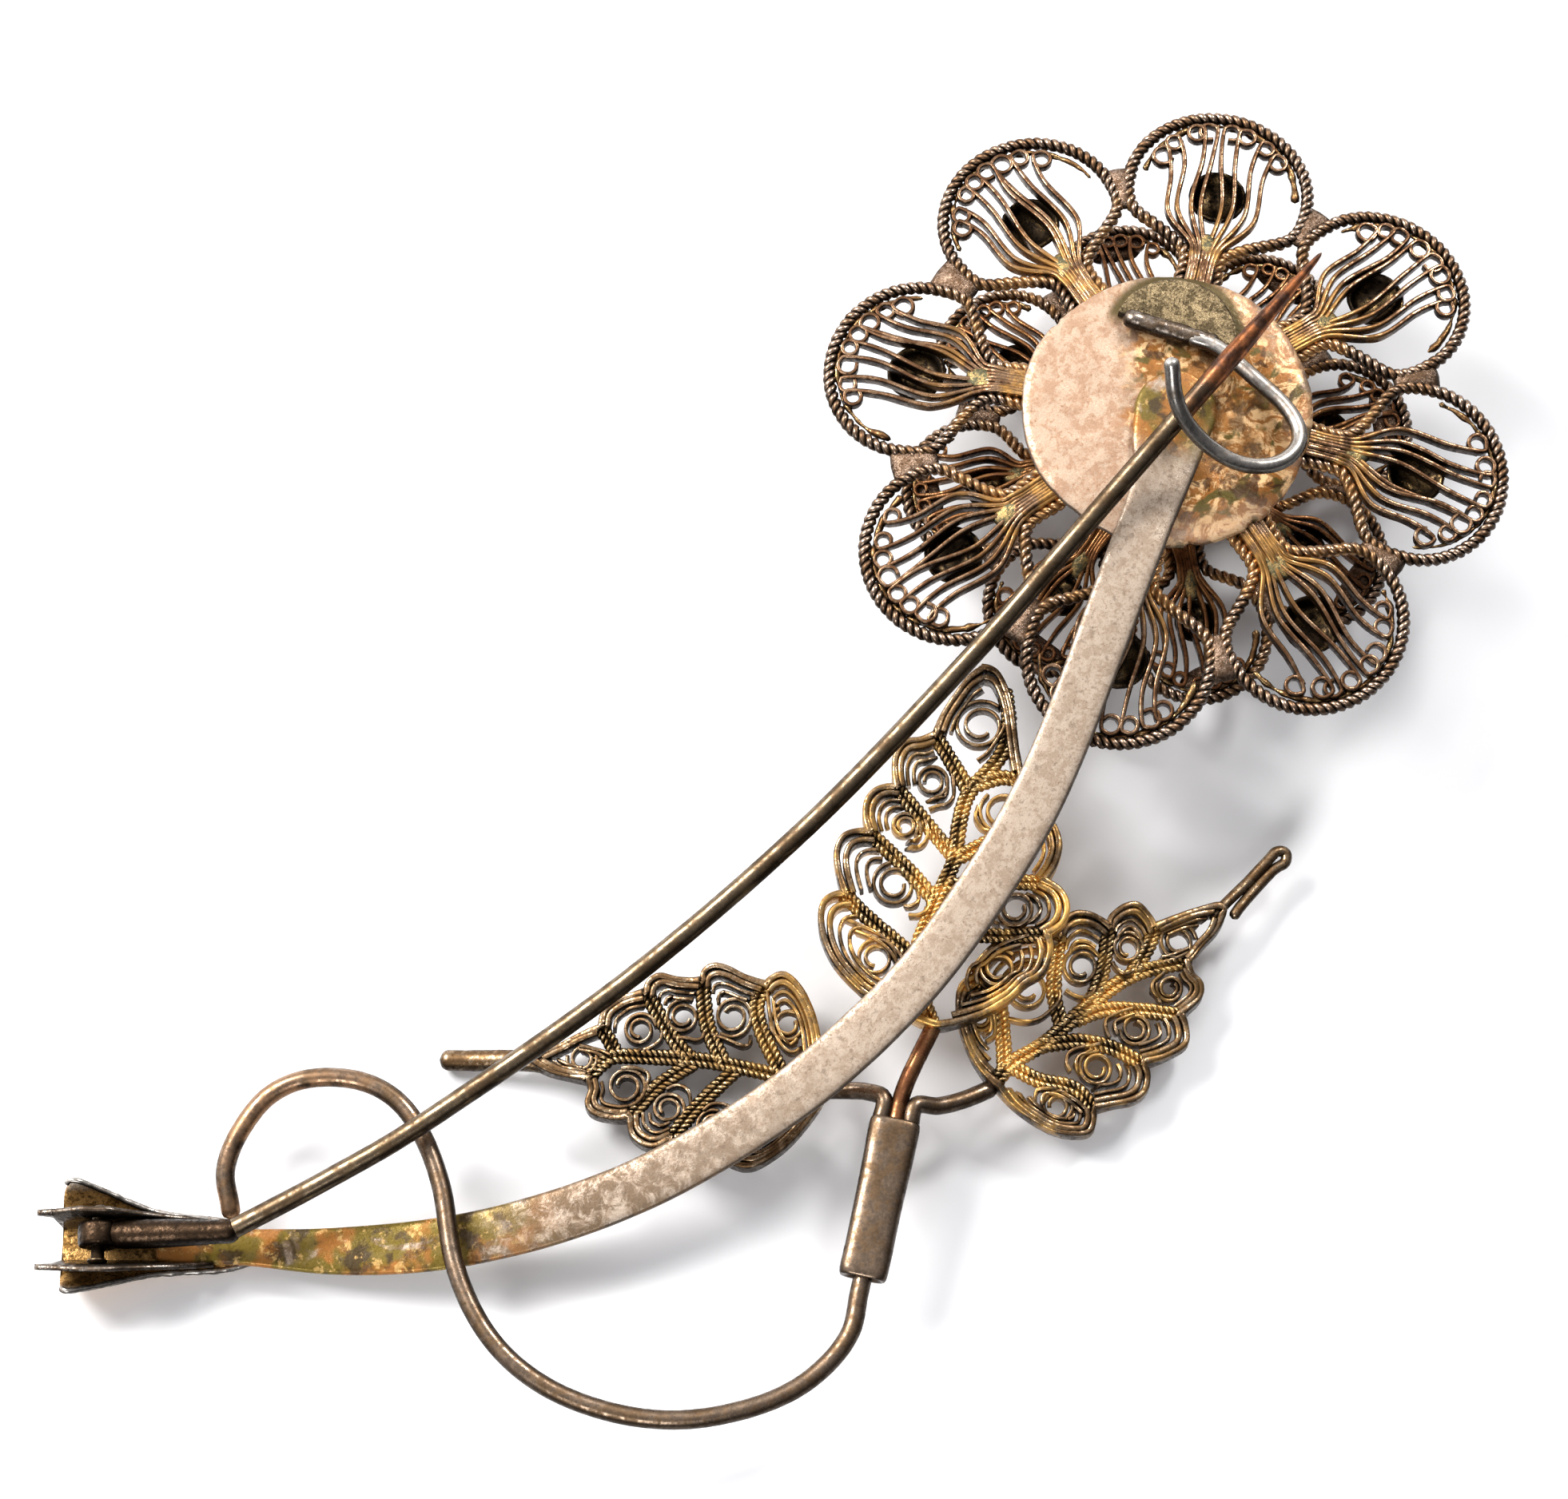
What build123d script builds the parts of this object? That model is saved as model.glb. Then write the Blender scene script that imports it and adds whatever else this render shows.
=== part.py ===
"""Filigree flower brooch pin, lying on its front: wire petals in two tiers, a strip stem, three leaves.

Millimetres. +Z points to the back of the brooch, where the pin and its catch are. +X runs along the brooch
from the hinge end to the flower. Places in the plan are measured from the flower's axis.
"""
from build123d import *
from math import acos, asin, atan2, cos, degrees, hypot, radians, sin, sqrt, tan
import os

# where the flower's axis stands in the object's frame
flower_x = 26.93
flower_y = 4.35

# general fits
solder_gap = 0.03         # between pieces that solder holds together
running_gap = 0.05        # radial, between the rivet and the knuckle that turns on it

# back disc and the two tiers of petals
disc_radius = 7.7
disc_thickness = 0.5
disc_back = 11.1          # height of the disc's back face
petal_count = 8

outer_loop_radius = 4.5   # of the rim wire's centre line
outer_loop_centre = 13.4  # from the flower's axis
outer_root = 6.4          # where the rim's two legs end
outer_wire = 0.9
outer_droop = 6.5         # degrees towards the front
outer_start = -7.0        # angle of the first outer petal

inner_loop_radius = 3.4
inner_loop_centre = 10.2
inner_root = 4.6
inner_wire = 0.8
inner_droop = 12.0
inner_start = outer_start + 180 / petal_count

blade_count = 7           # wires in each petal's fan
blade_width = 0.35
blade_height = 0.6
blade_share = 0.76        # outermost blade's angle, of the one at which it would touch the rim
outer_tab_radius = 1.0    # the soldered root of a fan
inner_tab_radius = 0.9
root_half_width = 1.5     # between a rim's legs at the root, from the middle to the wire's centre line

# front of the flower
front_plate_radius = 5.6
front_plate_thickness = 0.4
post_radius = 1.6
post_wall = 0.5
bead_radius = 2.6         # the centre bead, on which the flower rests
cup_wall = 0.45
cup_rim_height = 0.2      # how far behind the bead's middle the cup's mouth lies
cup_mouth_gap = 0.5       # from the bead to the cup's lip
cup_floor_wall = 0.44
cup_flare = 0.6           # how far its back face stands out round the post
outer_bead_radius = 1.5
outer_bead_at = 13.4      # from the flower's axis
inner_bead_radius = 1.1
inner_bead_at = 9.4

# stem strip
stem_width = 2.8
stem_thickness = 0.6
stem_bottom_end = 0.9     # height of its underside at the hinge end
stem_bend_start = -0.9 * disc_radius   # along X, just past the disc's edge
stem_bend_end = -62.0
stem_start = (-0.5, -1.5)
stem_bow_start = (-14.5, -9.4)
stem_lowest = (-34.0, -14.9)
stem_end = (-63.4, -2.6)

# hinge: measured from the rivet, along the ears and across them
rivet_at = (-69.4, 2.6)
rivet_height = 3.0
hinge_turn = -40.0        # degrees from +X to the ears' length
rivet_radius = 0.35
ear_thickness = 0.4
ear_front = 6.2
ear_back = 2.4
eye_radius = 1.05
eye_width = 1.3
eye_side_gap = 0.12
stub_radius = 0.6
calyx_thickness = 0.6
calyx_spread = 3.1
calyx_tongue = 9.0

# pin
pin_radius = 0.52
pin_rise = 9.0            # degrees, from the hinge end to the point
pin_root = (-64.2, -1.7)
pin_bow_end = (-17.0, -4.0)
pin_point = (10.4, 0.3)
pin_taper = 7.0
pin_point_radius = 0.12
pin_seat_gap = 0.04       # between the pin's round end and the knuckle's stub

# catch
tab_radius = 3.8
tab_thickness = 0.5
tab_centre = (4.2, 2.0)
tab_turn = -50.0          # degrees from +X to the tab's straight edge
hook_radius = 0.42
hook_points = [(2.8, 2.1), (4.2, -1.5), (4.5, -4.7), (2.5, -6.4), (0.3, -5.5), (-1.1, -3.4), (-1.4, -1.4),
               (-0.4, 0.1)]
hook_rises = [0.0, 0.0, 0.2, 0.7, 1.4, 2.4, 4.0, 5.8]
hook_bends = [1.6, 1.2, 1.2, 1.2, 1.6, 1.6]

# tendril, ferrule and stalks
tendril_radius = 0.5
tendril_points = [
    (-63.6, -0.9, 2.05), (-61.9, 1.9, 2.9), (-57.2, 3.0, 3.6), (-53.3, -0.4, 3.8), (-53.5, -5.2, 3.8),
    (-57.2, -11.8, 3.9), (-57.3, -17.6, 3.9), (-53.8, -23.2, 3.9), (-48.4, -26.3, 3.8), (-43.7, -26.4, 3.7),
    (-40.9, -24.2, 3.9),
]
ferrule_back = (-40.9, -24.2, 3.9)
ferrule_front = (-34.3, -19.0, 4.4)
ferrule_width = 2.6
ferrule_thickness = 1.7
stalk_radius = 0.42
stalk_lead = 1.0          # straight, out of the ferrule's mouth
stalk_gap = 0.6           # between neighbouring stalks at the ferrule's mouth

# leaves
leaf_height = 1.1         # of the flat wire, which stands on its edge
leaf_wire = 0.45
scroll_wire = 0.35

flower = Plane(origin=(flower_x, flower_y, 0))


def save(part, label):
    part.label = label
    export_step(part, f"parts/{label}.step")


def on_flower(x, y, z=0.0):
    return Vector(flower_x + x, flower_y + y, z)


def petal_plane(index, start, root, height, droop):
    """Plane of one petal: origin on the flower's axis side, x outwards and drooping to the front."""
    angle = radians(start + index * 360 / petal_count)
    drop = tan(radians(droop))
    outwards = Vector(cos(angle), sin(angle), -drop)
    normal = Vector(drop * cos(angle), drop * sin(angle), 1)
    return Plane(origin=on_flower(root * cos(angle), root * sin(angle), height), x_dir=outwards, z_dir=normal)


def petal_rim(plane, loop_radius, loop_centre, wire):
    """Round wire: two legs from the root and a loop that they meet at a tangent."""
    reach = hypot(loop_centre, root_half_width)
    facing = degrees(atan2(-root_half_width, loop_centre))
    touch = 180 + facing - degrees(acos(loop_radius / reach))
    touch_at = radians(touch)
    shoulder = (loop_centre + loop_radius * cos(touch_at), loop_radius * sin(touch_at))
    with BuildPart() as rim:
        with BuildLine(plane):
            Line((0, -root_half_width), (shoulder[0], -shoulder[1]))
            ThreePointArc((shoulder[0], -shoulder[1]), (loop_centre + loop_radius, 0), shoulder)
            Line(shoulder, (0, root_half_width))
        with BuildSketch(Plane(origin=plane.from_local_coords((0, -root_half_width, 0)),
                               z_dir=plane.from_local_coords((shoulder[0], -shoulder[1], 0))
                               - plane.from_local_coords((0, -root_half_width, 0)))):
            Circle(wire / 2)
        sweep()
    return rim.part


def petal_fan(plane, loop_radius, loop_centre, wire, tab_radius_here):
    """Blades that spread from a soldered root to just inside the rim."""
    inside = loop_radius - wire / 2 - solder_gap - blade_width / 2
    base = tab_radius_here * 0.6
    depth = loop_centre - base
    spread = blade_share * asin(inside / depth)
    with BuildPart() as fan:
        with BuildSketch(plane.offset(-blade_height / 2)):
            with Locations((base, 0)):
                Circle(tab_radius_here)
            for blade in range(blade_count):
                angle = spread * (2 * blade / (blade_count - 1) - 1)
                length = depth * cos(angle) + sqrt(max(inside**2 - (depth * sin(angle)) ** 2, 0))
                with Locations((base + length / 2 * cos(angle), length / 2 * sin(angle))):
                    SlotCenterToCenter(length, blade_width, rotation=degrees(angle))
        extrude(amount=blade_height)
    return fan.part


def petal_beads(start, root, height, droop, bead, reach):
    """Half-round cups that sit under the fans, one to each petal."""
    with BuildPart() as beads:
        for index in range(petal_count):
            plane = petal_plane(index, start, root, height, droop)
            seat = plane.from_local_coords((reach - root, 0, -blade_height / 2 - solder_gap))
            with Locations(Location(Plane(origin=seat, x_dir=plane.x_dir, z_dir=plane.z_dir))):
                Sphere(bead, arc_size1=-90, arc_size2=0, align=(Align.CENTER, Align.CENTER, Align.MAX))
    return beads.part


def leaf_outline(tip, lobe_rows):
    """Sketch objects whose union is the leaf's filled outline."""
    widest = max(across for _, across, _ in lobe_rows)
    side = [(lobe_rows[1][0], widest), (lobe_rows[-1][0], lobe_rows[-1][1])]
    Polygon((0, 0), *side, (tip, 0), *[(x, -y) for x, y in reversed(side)], align=None)
    for along, across, radius in lobe_rows:
        with Locations((along, across), (along, -across)):
            Circle(radius)


def leaf_frame(plane, tip, lobe_rows):
    """The scalloped outline, of flat wire that stands on its edge."""
    with BuildPart() as frame:
        with BuildSketch(plane.offset(-leaf_height / 2)):
            leaf_outline(tip, lobe_rows)
            offset(amount=-leaf_wire, mode=Mode.SUBTRACT)
        extrude(amount=leaf_height)
    return frame.part


def leaf_scrolls(plane, length, lobe_rows):
    """Midrib, a rib to each lobe and a ring in each lobe, all inside the frame."""
    with BuildPart() as scrolls:
        with BuildSketch(plane.offset(-leaf_height / 2)):
            with Locations((length / 2, 0)):
                Rectangle(length * 0.84, scroll_wire * 2)
            for along, across, radius in lobe_rows:
                ring = radius - leaf_wire - solder_gap
                reach = across - ring + scroll_wire
                for side in (-1, 1):
                    with Locations((along, side * reach / 2)):
                        Rectangle(scroll_wire, reach)
                    with Locations((along, side * across)):
                        Circle(ring)
            for along, across, radius in lobe_rows:
                with Locations((along, across), (along, -across)):
                    Circle(radius - leaf_wire - solder_gap - scroll_wire, mode=Mode.SUBTRACT)
        extrude(amount=leaf_height)
    return scrolls.part


os.makedirs("parts", exist_ok=True)

# ---- heights of the flower's front, stacked on the bead ----
bead_height = bead_radius
cup_mouth = bead_height + cup_rim_height
cup_floor = bead_height + bead_radius + solder_gap
cup_back = cup_floor + cup_floor_wall
front_plate_front = cup_back + solder_gap
plate_back = front_plate_front + front_plate_thickness

# ---- back disc, post and front plate ----
disc_front = disc_back - disc_thickness
with BuildPart() as back_disc:
    with BuildSketch(flower.offset(disc_front)):
        Circle(disc_radius)
    extrude(amount=disc_thickness)
save(back_disc.part, "back_disc")

with BuildPart() as flower_post:
    with BuildSketch(flower.offset(plate_back + solder_gap)):
        Circle(post_radius)
        Circle(post_radius - post_wall, mode=Mode.SUBTRACT)
    extrude(amount=disc_front - plate_back - 2 * solder_gap)
save(flower_post.part, "flower_post")

with BuildPart() as front_plate:
    with BuildSketch(flower.offset(front_plate_front)):
        Circle(front_plate_radius)
    extrude(amount=front_plate_thickness)
save(front_plate.part, "front_plate")

# ---- petals ----
outer_height = disc_front - outer_wire / 2 - solder_gap
inner_height = front_plate_front - inner_wire / 2 - solder_gap
for index in range(petal_count):
    outer = petal_plane(index, outer_start, outer_root, outer_height, outer_droop)
    inner = petal_plane(index, inner_start, inner_root, inner_height, inner_droop)
    outer_rim = petal_rim(outer, outer_loop_radius, outer_loop_centre - outer_root, outer_wire)
    save(outer_rim, f"outer_rim_{index + 1}")
    save(petal_fan(outer, outer_loop_radius, outer_loop_centre - outer_root, outer_wire,
                   outer_tab_radius),
         f"outer_fan_{index + 1}")
    inner_rim = petal_rim(inner, inner_loop_radius, inner_loop_centre - inner_root, inner_wire)
    save(inner_rim, f"inner_rim_{index + 1}")
    save(petal_fan(inner, inner_loop_radius, inner_loop_centre - inner_root, inner_wire,
                   inner_tab_radius),
         f"inner_fan_{index + 1}")
save(petal_beads(outer_start, outer_root, outer_height, outer_droop, outer_bead_radius,
                 outer_bead_at),
     "outer_beads")
save(petal_beads(inner_start, inner_root, inner_height, inner_droop, inner_bead_radius,
                 inner_bead_at),
     "inner_beads")

# ---- front of the flower ----
cup_mouth_radius = bead_radius + cup_wall + cup_mouth_gap
cup_back_radius = post_radius + cup_flare
cup_floor_radius = cup_back_radius - cup_mouth_gap
cup_outside = (bead_radius + cup_flare, bead_height + 0.77 * bead_radius)   # a point on its round outside
cup_inside = (cup_outside[0] - cup_wall, bead_height + 0.69 * bead_radius)
with BuildPart() as centre_cup:
    with BuildSketch(Plane(origin=on_flower(0, 0), x_dir=(1, 0, 0), z_dir=(0, -1, 0))):
        with BuildLine():
            Line((0, cup_back), (cup_back_radius, cup_back))
            ThreePointArc((cup_back_radius, cup_back), cup_outside, (cup_mouth_radius, cup_mouth))
            Line((cup_mouth_radius, cup_mouth), (cup_mouth_radius - cup_wall, cup_mouth))
            ThreePointArc((cup_mouth_radius - cup_wall, cup_mouth), cup_inside, (cup_floor_radius, cup_floor))
            Line((cup_floor_radius, cup_floor), (0, cup_floor))
            Line((0, cup_floor), (0, cup_back))
        make_face()
    revolve(axis=Axis(on_flower(0, 0), (0, 0, 1)))
save(centre_cup.part, "centre_cup")

with BuildPart() as centre_bead:
    with Locations(on_flower(0, 0, bead_height)):
        Sphere(bead_radius)
save(centre_bead.part, "centre_bead")

# ---- stem strip ----
stem_top = disc_back + stem_thickness
with BuildPart() as stem_strip:
    with BuildSketch(flower):
        with BuildLine():
            straight = Line(stem_start, stem_bow_start)
            first_bow = TangentArc(stem_bow_start, stem_lowest, tangent=straight % 1)
            TangentArc(stem_lowest, stem_end, tangent=first_bow % 1)
            offset(amount=stem_width / 2)
        make_face()
    extrude(amount=disc_back + 10)
    with BuildSketch(Plane(origin=on_flower(0, 0), x_dir=(1, 0, 0), z_dir=(0, -1, 0))):
        with BuildLine():
            Polyline((4, disc_back), (stem_bend_start, disc_back), (stem_bend_end, stem_bottom_end),
                     (-70, stem_bottom_end), (-70, stem_bottom_end + stem_thickness),
                     (stem_bend_end, stem_bottom_end + stem_thickness), (stem_bend_start, stem_top),
                     (4, stem_top), close=True)
        make_face()
    extrude(amount=40, both=True, mode=Mode.INTERSECT)
save(stem_strip.part, "stem_strip")

# ---- hinge ----
rivet_point = on_flower(rivet_at[0], rivet_at[1], 0)
along = Vector(cos(radians(hinge_turn)), sin(radians(hinge_turn)), 0)
across = Vector(-sin(radians(hinge_turn)), cos(radians(hinge_turn)), 0)
hinge = Plane(origin=rivet_point, x_dir=along, z_dir=(0, 0, 1))
calyx_top = stem_bottom_end
ear_inner = eye_width / 2 + eye_side_gap

with BuildPart() as calyx:
    with BuildSketch(hinge.offset(calyx_top - calyx_thickness)):
        with BuildLine():
            ThreePointArc((-1.0, -calyx_spread * 0.45), (-3.0, 0), (-1.0, calyx_spread * 0.45))
            Line((-1.0, calyx_spread * 0.45), (-0.3, calyx_spread))
            ThreePointArc((-0.3, calyx_spread), (2.6, stem_width * 0.62), (6.2, stem_width / 2))
            Line((6.2, stem_width / 2), (calyx_tongue, 0.4))
            Line((calyx_tongue, 0.4), (calyx_tongue, -0.6))
            Line((calyx_tongue, -0.6), (6.2, -stem_width / 2))
            ThreePointArc((6.2, -stem_width / 2), (2.6, -stem_width * 0.62), (-0.3, -calyx_spread))
            Line((-0.3, -calyx_spread), (-1.0, -calyx_spread * 0.45))
        make_face()
    extrude(amount=calyx_thickness)
save(calyx.part, "calyx")

for label, side in (("left_ear", 1), ("right_ear", -1)):
    middle = side * (ear_inner + ear_thickness / 2)
    wall = Plane(origin=rivet_point + across * middle, x_dir=along, z_dir=across * -1)
    with BuildPart() as ear:
        with BuildSketch(wall):
            with BuildLine():
                Polyline((-ear_back, calyx_top), (-ear_back + 0.3, 3.2), (-0.9, 4.5), (0.7, 4.4), (2.2, 3.5),
                         (4.0, 2.9), (ear_front, 1.9), (ear_front, calyx_top), close=True)
            make_face()
            with Locations((0, rivet_height)):
                Circle(rivet_radius, mode=Mode.SUBTRACT)
        extrude(amount=ear_thickness / 2, both=True)
    save(ear.part, label)

rivet_reach = ear_inner + ear_thickness + 0.25
rivet_plane = Plane(origin=rivet_point + Vector(0, 0, rivet_height), x_dir=along, z_dir=across)
with BuildPart() as hinge_rivet:
    with BuildSketch(rivet_plane):
        Circle(rivet_radius)
    extrude(amount=rivet_reach, both=True)
save(hinge_rivet.part, "hinge_rivet")

# ---- pin: knuckle on the rivet, then the wire ----
slope = tan(radians(pin_rise))
pin_root_height = rivet_height + 0.9
root_at = on_flower(pin_root[0], pin_root[1], pin_root_height)
eye_at = on_flower(rivet_at[0], rivet_at[1], rivet_height)
stub_direction = (root_at - eye_at).normalized()
stub_length = (root_at - eye_at).length - pin_radius - pin_seat_gap
with BuildPart() as pin_knuckle:
    with BuildSketch(rivet_plane):
        Circle(eye_radius)
    extrude(amount=eye_width / 2, both=True)
    with BuildSketch(Plane(origin=eye_at, z_dir=stub_direction)):
        Circle(stub_radius)
    extrude(amount=stub_length)
    with BuildSketch(rivet_plane):
        Circle(rivet_radius + running_gap)
    extrude(amount=eye_width, both=True, mode=Mode.SUBTRACT)
save(pin_knuckle.part, "pin_knuckle")

pin_plane = Plane(origin=root_at, x_dir=(1, 0, slope), z_dir=(-slope, 0, 1))


def on_pin(x, y):
    return ((x - pin_root[0]) / cos(radians(pin_rise)), y - pin_root[1])


pin_end = on_pin(*pin_point)
bow_end = on_pin(*pin_bow_end)
shank_turn = atan2(pin_end[1] - bow_end[1], pin_end[0] - bow_end[0])
taper_start = (pin_end[0] - pin_taper * cos(shank_turn), pin_end[1] - pin_taper * sin(shank_turn))
with BuildPart() as pin_wire:
    with BuildLine(pin_plane):
        shank = Line(taper_start, bow_end)
        bow = TangentArc(bow_end, (0, 0), tangent=shank % 1)
    with BuildSketch(Plane(origin=shank @ 0, z_dir=shank % 0)):
        Circle(pin_radius)
    sweep()
    taper = Plane(origin=shank @ 0, z_dir=(shank % 0) * -1)
    with Locations(taper.location):
        Cone(pin_radius, pin_point_radius, pin_taper, align=(Align.CENTER, Align.CENTER, Align.MIN))
    with Locations(root_at):
        Sphere(pin_radius)
save(pin_wire.part, "pin_wire")

# ---- catch ----
tab_plane = Plane(origin=on_flower(tab_centre[0], tab_centre[1], disc_back), x_dir=(cos(radians(tab_turn)),
                  sin(radians(tab_turn)), 0), z_dir=(0, 0, 1))
with BuildPart() as catch_tab:
    with BuildSketch(tab_plane):
        with BuildLine():
            Line((tab_radius, 0), (-tab_radius, 0))
            ThreePointArc((-tab_radius, 0), (0, tab_radius), (tab_radius, 0))
        make_face()
    extrude(amount=tab_thickness)
save(catch_tab.part, "catch_tab")

hook_foot = disc_back + tab_thickness + hook_radius + solder_gap
with BuildPart() as catch_hook:
    with BuildLine() as hook_path:
        FilletPolyline(*[on_flower(x, y, hook_foot + rise) for (x, y), rise in zip(hook_points, hook_rises)],
                       radius=hook_bends)
    with BuildSketch(Plane(origin=hook_path.line @ 0, z_dir=hook_path.line % 0)):
        Circle(hook_radius)
    sweep()
save(catch_hook.part, "catch_hook")

# ---- tendril, ferrule and the leaves' stalks ----
tendril_bends = []
for before, at, after in zip(tendril_points, tendril_points[1:], tendril_points[2:]):
    arriving, leaving = Vector(at) - Vector(before), Vector(after) - Vector(at)
    turn = radians(arriving.get_angle(leaving))
    tendril_bends.append(0.45 * min(arriving.length, leaving.length) / tan(turn / 2))
with BuildPart() as tendril:
    with BuildLine() as tendril_path:
        FilletPolyline(*[on_flower(*point) for point in tendril_points], radius=tendril_bends)
    with BuildSketch(Plane(origin=tendril_path.line @ 0, z_dir=tendril_path.line % 0)):
        Circle(tendril_radius)
    sweep()
save(tendril.part, "tendril")

ferrule_from, ferrule_to = on_flower(*ferrule_back), on_flower(*ferrule_front)
ferrule_length = (ferrule_to - ferrule_from).length
ferrule_way = (ferrule_to - ferrule_from).normalized()
ferrule_side = Vector(-ferrule_way.Y, ferrule_way.X, 0).normalized()
ferrule_plane = Plane(origin=ferrule_from, x_dir=ferrule_side, z_dir=ferrule_way)
with BuildPart() as ferrule:
    with BuildSketch(ferrule_plane.offset(solder_gap)):
        SlotOverall(ferrule_width, ferrule_thickness)
    extrude(amount=ferrule_length - solder_gap)
save(ferrule.part, "ferrule")

left_fall = 0.07
left_root = (-35.9, -15.2, 2.9)
middle_root = (-29.8, -16.6, 5.2)
right_root = (-29.3, -20.6, 3.0)
left_plane = Plane(origin=on_flower(*left_root), x_dir=(-1, 1, -left_fall * sqrt(2)),
                   z_dir=(-left_fall / sqrt(2), left_fall / sqrt(2), 1))
middle_plane = Plane(origin=on_flower(*middle_root), x_dir=(1, 0.86, 0.1), z_dir=(-0.1, 0, 1))
right_roll = radians(16)
right_plane = Plane(origin=on_flower(*right_root), x_dir=(1, -0.04, 0.0),
                    z_dir=(0, -sin(right_roll), cos(right_roll)))

with BuildPart() as leaf_stalks:
    for slot, (root, bend) in enumerate([(left_root, (-34.6, -16.6, 3.9)), (middle_root, (-32.3, -17.7, 5.0)),
                                         (right_root, (-31.8, -20.0, 3.7))]):
        mouth = ferrule_plane.offset(ferrule_length + solder_gap)
        start = mouth.from_local_coords(((1 - slot) * stalk_gap * 1.6, 0, 0))
        with BuildLine() as stalk_path:
            FilletPolyline(start, start + ferrule_way * stalk_lead, on_flower(*bend), on_flower(*root),
                           radius=0.5)
        with BuildSketch(Plane(origin=stalk_path.line @ 0, z_dir=stalk_path.line % 0)):
            Circle(stalk_radius)
        sweep()
save(leaf_stalks.part, "leaf_stalks")

# ---- leaves: (along the leaf, from its middle, radius) for each pair of lobes ----
left_lobes = [(2.2, 2.6, 2.2), (5.4, 4.0, 2.1), (8.6, 3.9, 2.0), (11.4, 3.0, 1.8), (13.8, 1.9, 1.6)]
middle_lobes = [(2.0, 3.4, 2.4), (5.4, 4.3, 2.2), (8.6, 4.0, 2.0), (11.4, 3.1, 1.8), (13.8, 2.1, 1.6)]
right_lobes = [(1.6, 2.4, 2.1), (4.4, 3.5, 2.0), (7.2, 3.3, 1.9), (9.8, 2.6, 1.7), (12.0, 1.8, 1.4)]
for label, plane, length, tip, rows in (("left_leaf", left_plane, 16.4, 20.2, left_lobes),
                                        ("middle_leaf", middle_plane, 16.4, 19.4, middle_lobes),
                                        ("right_leaf", right_plane, 14.4, 19.6, right_lobes)):
    save(leaf_frame(plane, tip, rows), f"{label}_frame")
    save(leaf_scrolls(plane, length, rows), f"{label}_scrolls")
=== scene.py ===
"""Antique filigree flower brooch pin, lying on its front: its wires, solder, tarnish and light.

Sizes in the lists are millimetres; places in the plan are measured from the flower's axis unless a leaf or hinge
has its own axes.
"""

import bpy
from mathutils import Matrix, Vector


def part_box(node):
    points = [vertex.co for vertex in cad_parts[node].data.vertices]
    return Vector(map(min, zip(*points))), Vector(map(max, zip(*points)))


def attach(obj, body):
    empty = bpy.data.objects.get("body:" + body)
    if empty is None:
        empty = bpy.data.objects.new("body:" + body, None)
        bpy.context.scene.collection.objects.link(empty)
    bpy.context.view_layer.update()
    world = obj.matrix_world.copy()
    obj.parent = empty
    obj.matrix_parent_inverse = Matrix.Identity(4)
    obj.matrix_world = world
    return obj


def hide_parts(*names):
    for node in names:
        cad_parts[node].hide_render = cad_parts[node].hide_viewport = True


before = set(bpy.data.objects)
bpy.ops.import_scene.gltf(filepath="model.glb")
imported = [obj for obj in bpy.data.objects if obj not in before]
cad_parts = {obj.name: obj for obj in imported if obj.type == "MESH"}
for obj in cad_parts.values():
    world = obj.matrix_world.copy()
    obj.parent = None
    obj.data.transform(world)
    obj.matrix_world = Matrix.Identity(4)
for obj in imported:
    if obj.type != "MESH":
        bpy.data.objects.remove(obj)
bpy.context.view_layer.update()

import math
import random

import bmesh
import bpy
import numpy as np
from mathutils import Matrix, Vector, noise

MM = 0.001
UPWARDS = Vector((0, 0, 1))
disc_low, disc_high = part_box("back_disc")
FLOWER = Vector(((disc_low.x + disc_high.x) / 2, (disc_low.y + disc_high.y) / 2, 0))
DISC_BACK = disc_high.z / MM
DISC_FRONT = disc_low.z / MM
DISC_MIDDLE = (DISC_BACK + DISC_FRONT) / 2


def at(x, y, z):
    """A place measured from the flower's axis, in metres in the object's frame."""
    return FLOWER + Vector((x, y, z)) * MM


def around(radius, angle, z):
    """A place at a radius and an angle round the flower's axis."""
    return at(radius * math.cos(angle), radius * math.sin(angle), z)


def extent(box):
    """Lowest and highest height of a CAD box and its reach from the flower's axis along X, in millimetres."""
    low, high = box
    return low.z / MM, high.z / MM, (high.x - FLOWER.x) / MM


def round_angles(count):
    """Equally spaced angles round a full circle."""
    return [2 * math.pi * i / count for i in range(count)]


# ------------------------------------------------------------------ camera and light

camera = bpy.data.objects.new("camera", bpy.data.cameras.new("camera"))
bpy.context.scene.collection.objects.link(camera)
camera.data.sensor_width = 36
camera.data.lens = 114.5
camera.data.clip_start = 0.01
seat = Vector((-50.6, -57.9, 253.3)) * MM
aimed_at = Vector((0.58, 3.98, 6.0)) * MM
back = (seat - aimed_at).normalized()
right = Vector((0.7705, -0.6374, 0)).normalized()
up = back.cross(right)
camera.matrix_world = Matrix.Translation(seat) @ Matrix((right, up, back)).transposed().to_4x4()
bpy.context.scene.camera = camera
bpy.context.scene.view_settings.view_transform = "Standard"


def soft_light(name, place, aim, size, watts, tint=(1, 1, 1)):
    """A square lamp at a place in metres, turned to what it lights."""
    light = bpy.data.objects.new(name, bpy.data.lights.new(name, "AREA"))
    bpy.context.scene.collection.objects.link(light)
    light.data.size = size
    light.data.energy = watts
    light.data.color = tint
    light.location = Vector(place)
    light.rotation_euler = (Vector(aim) - Vector(place)).to_track_quat("-Z", "Y").to_euler()


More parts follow.
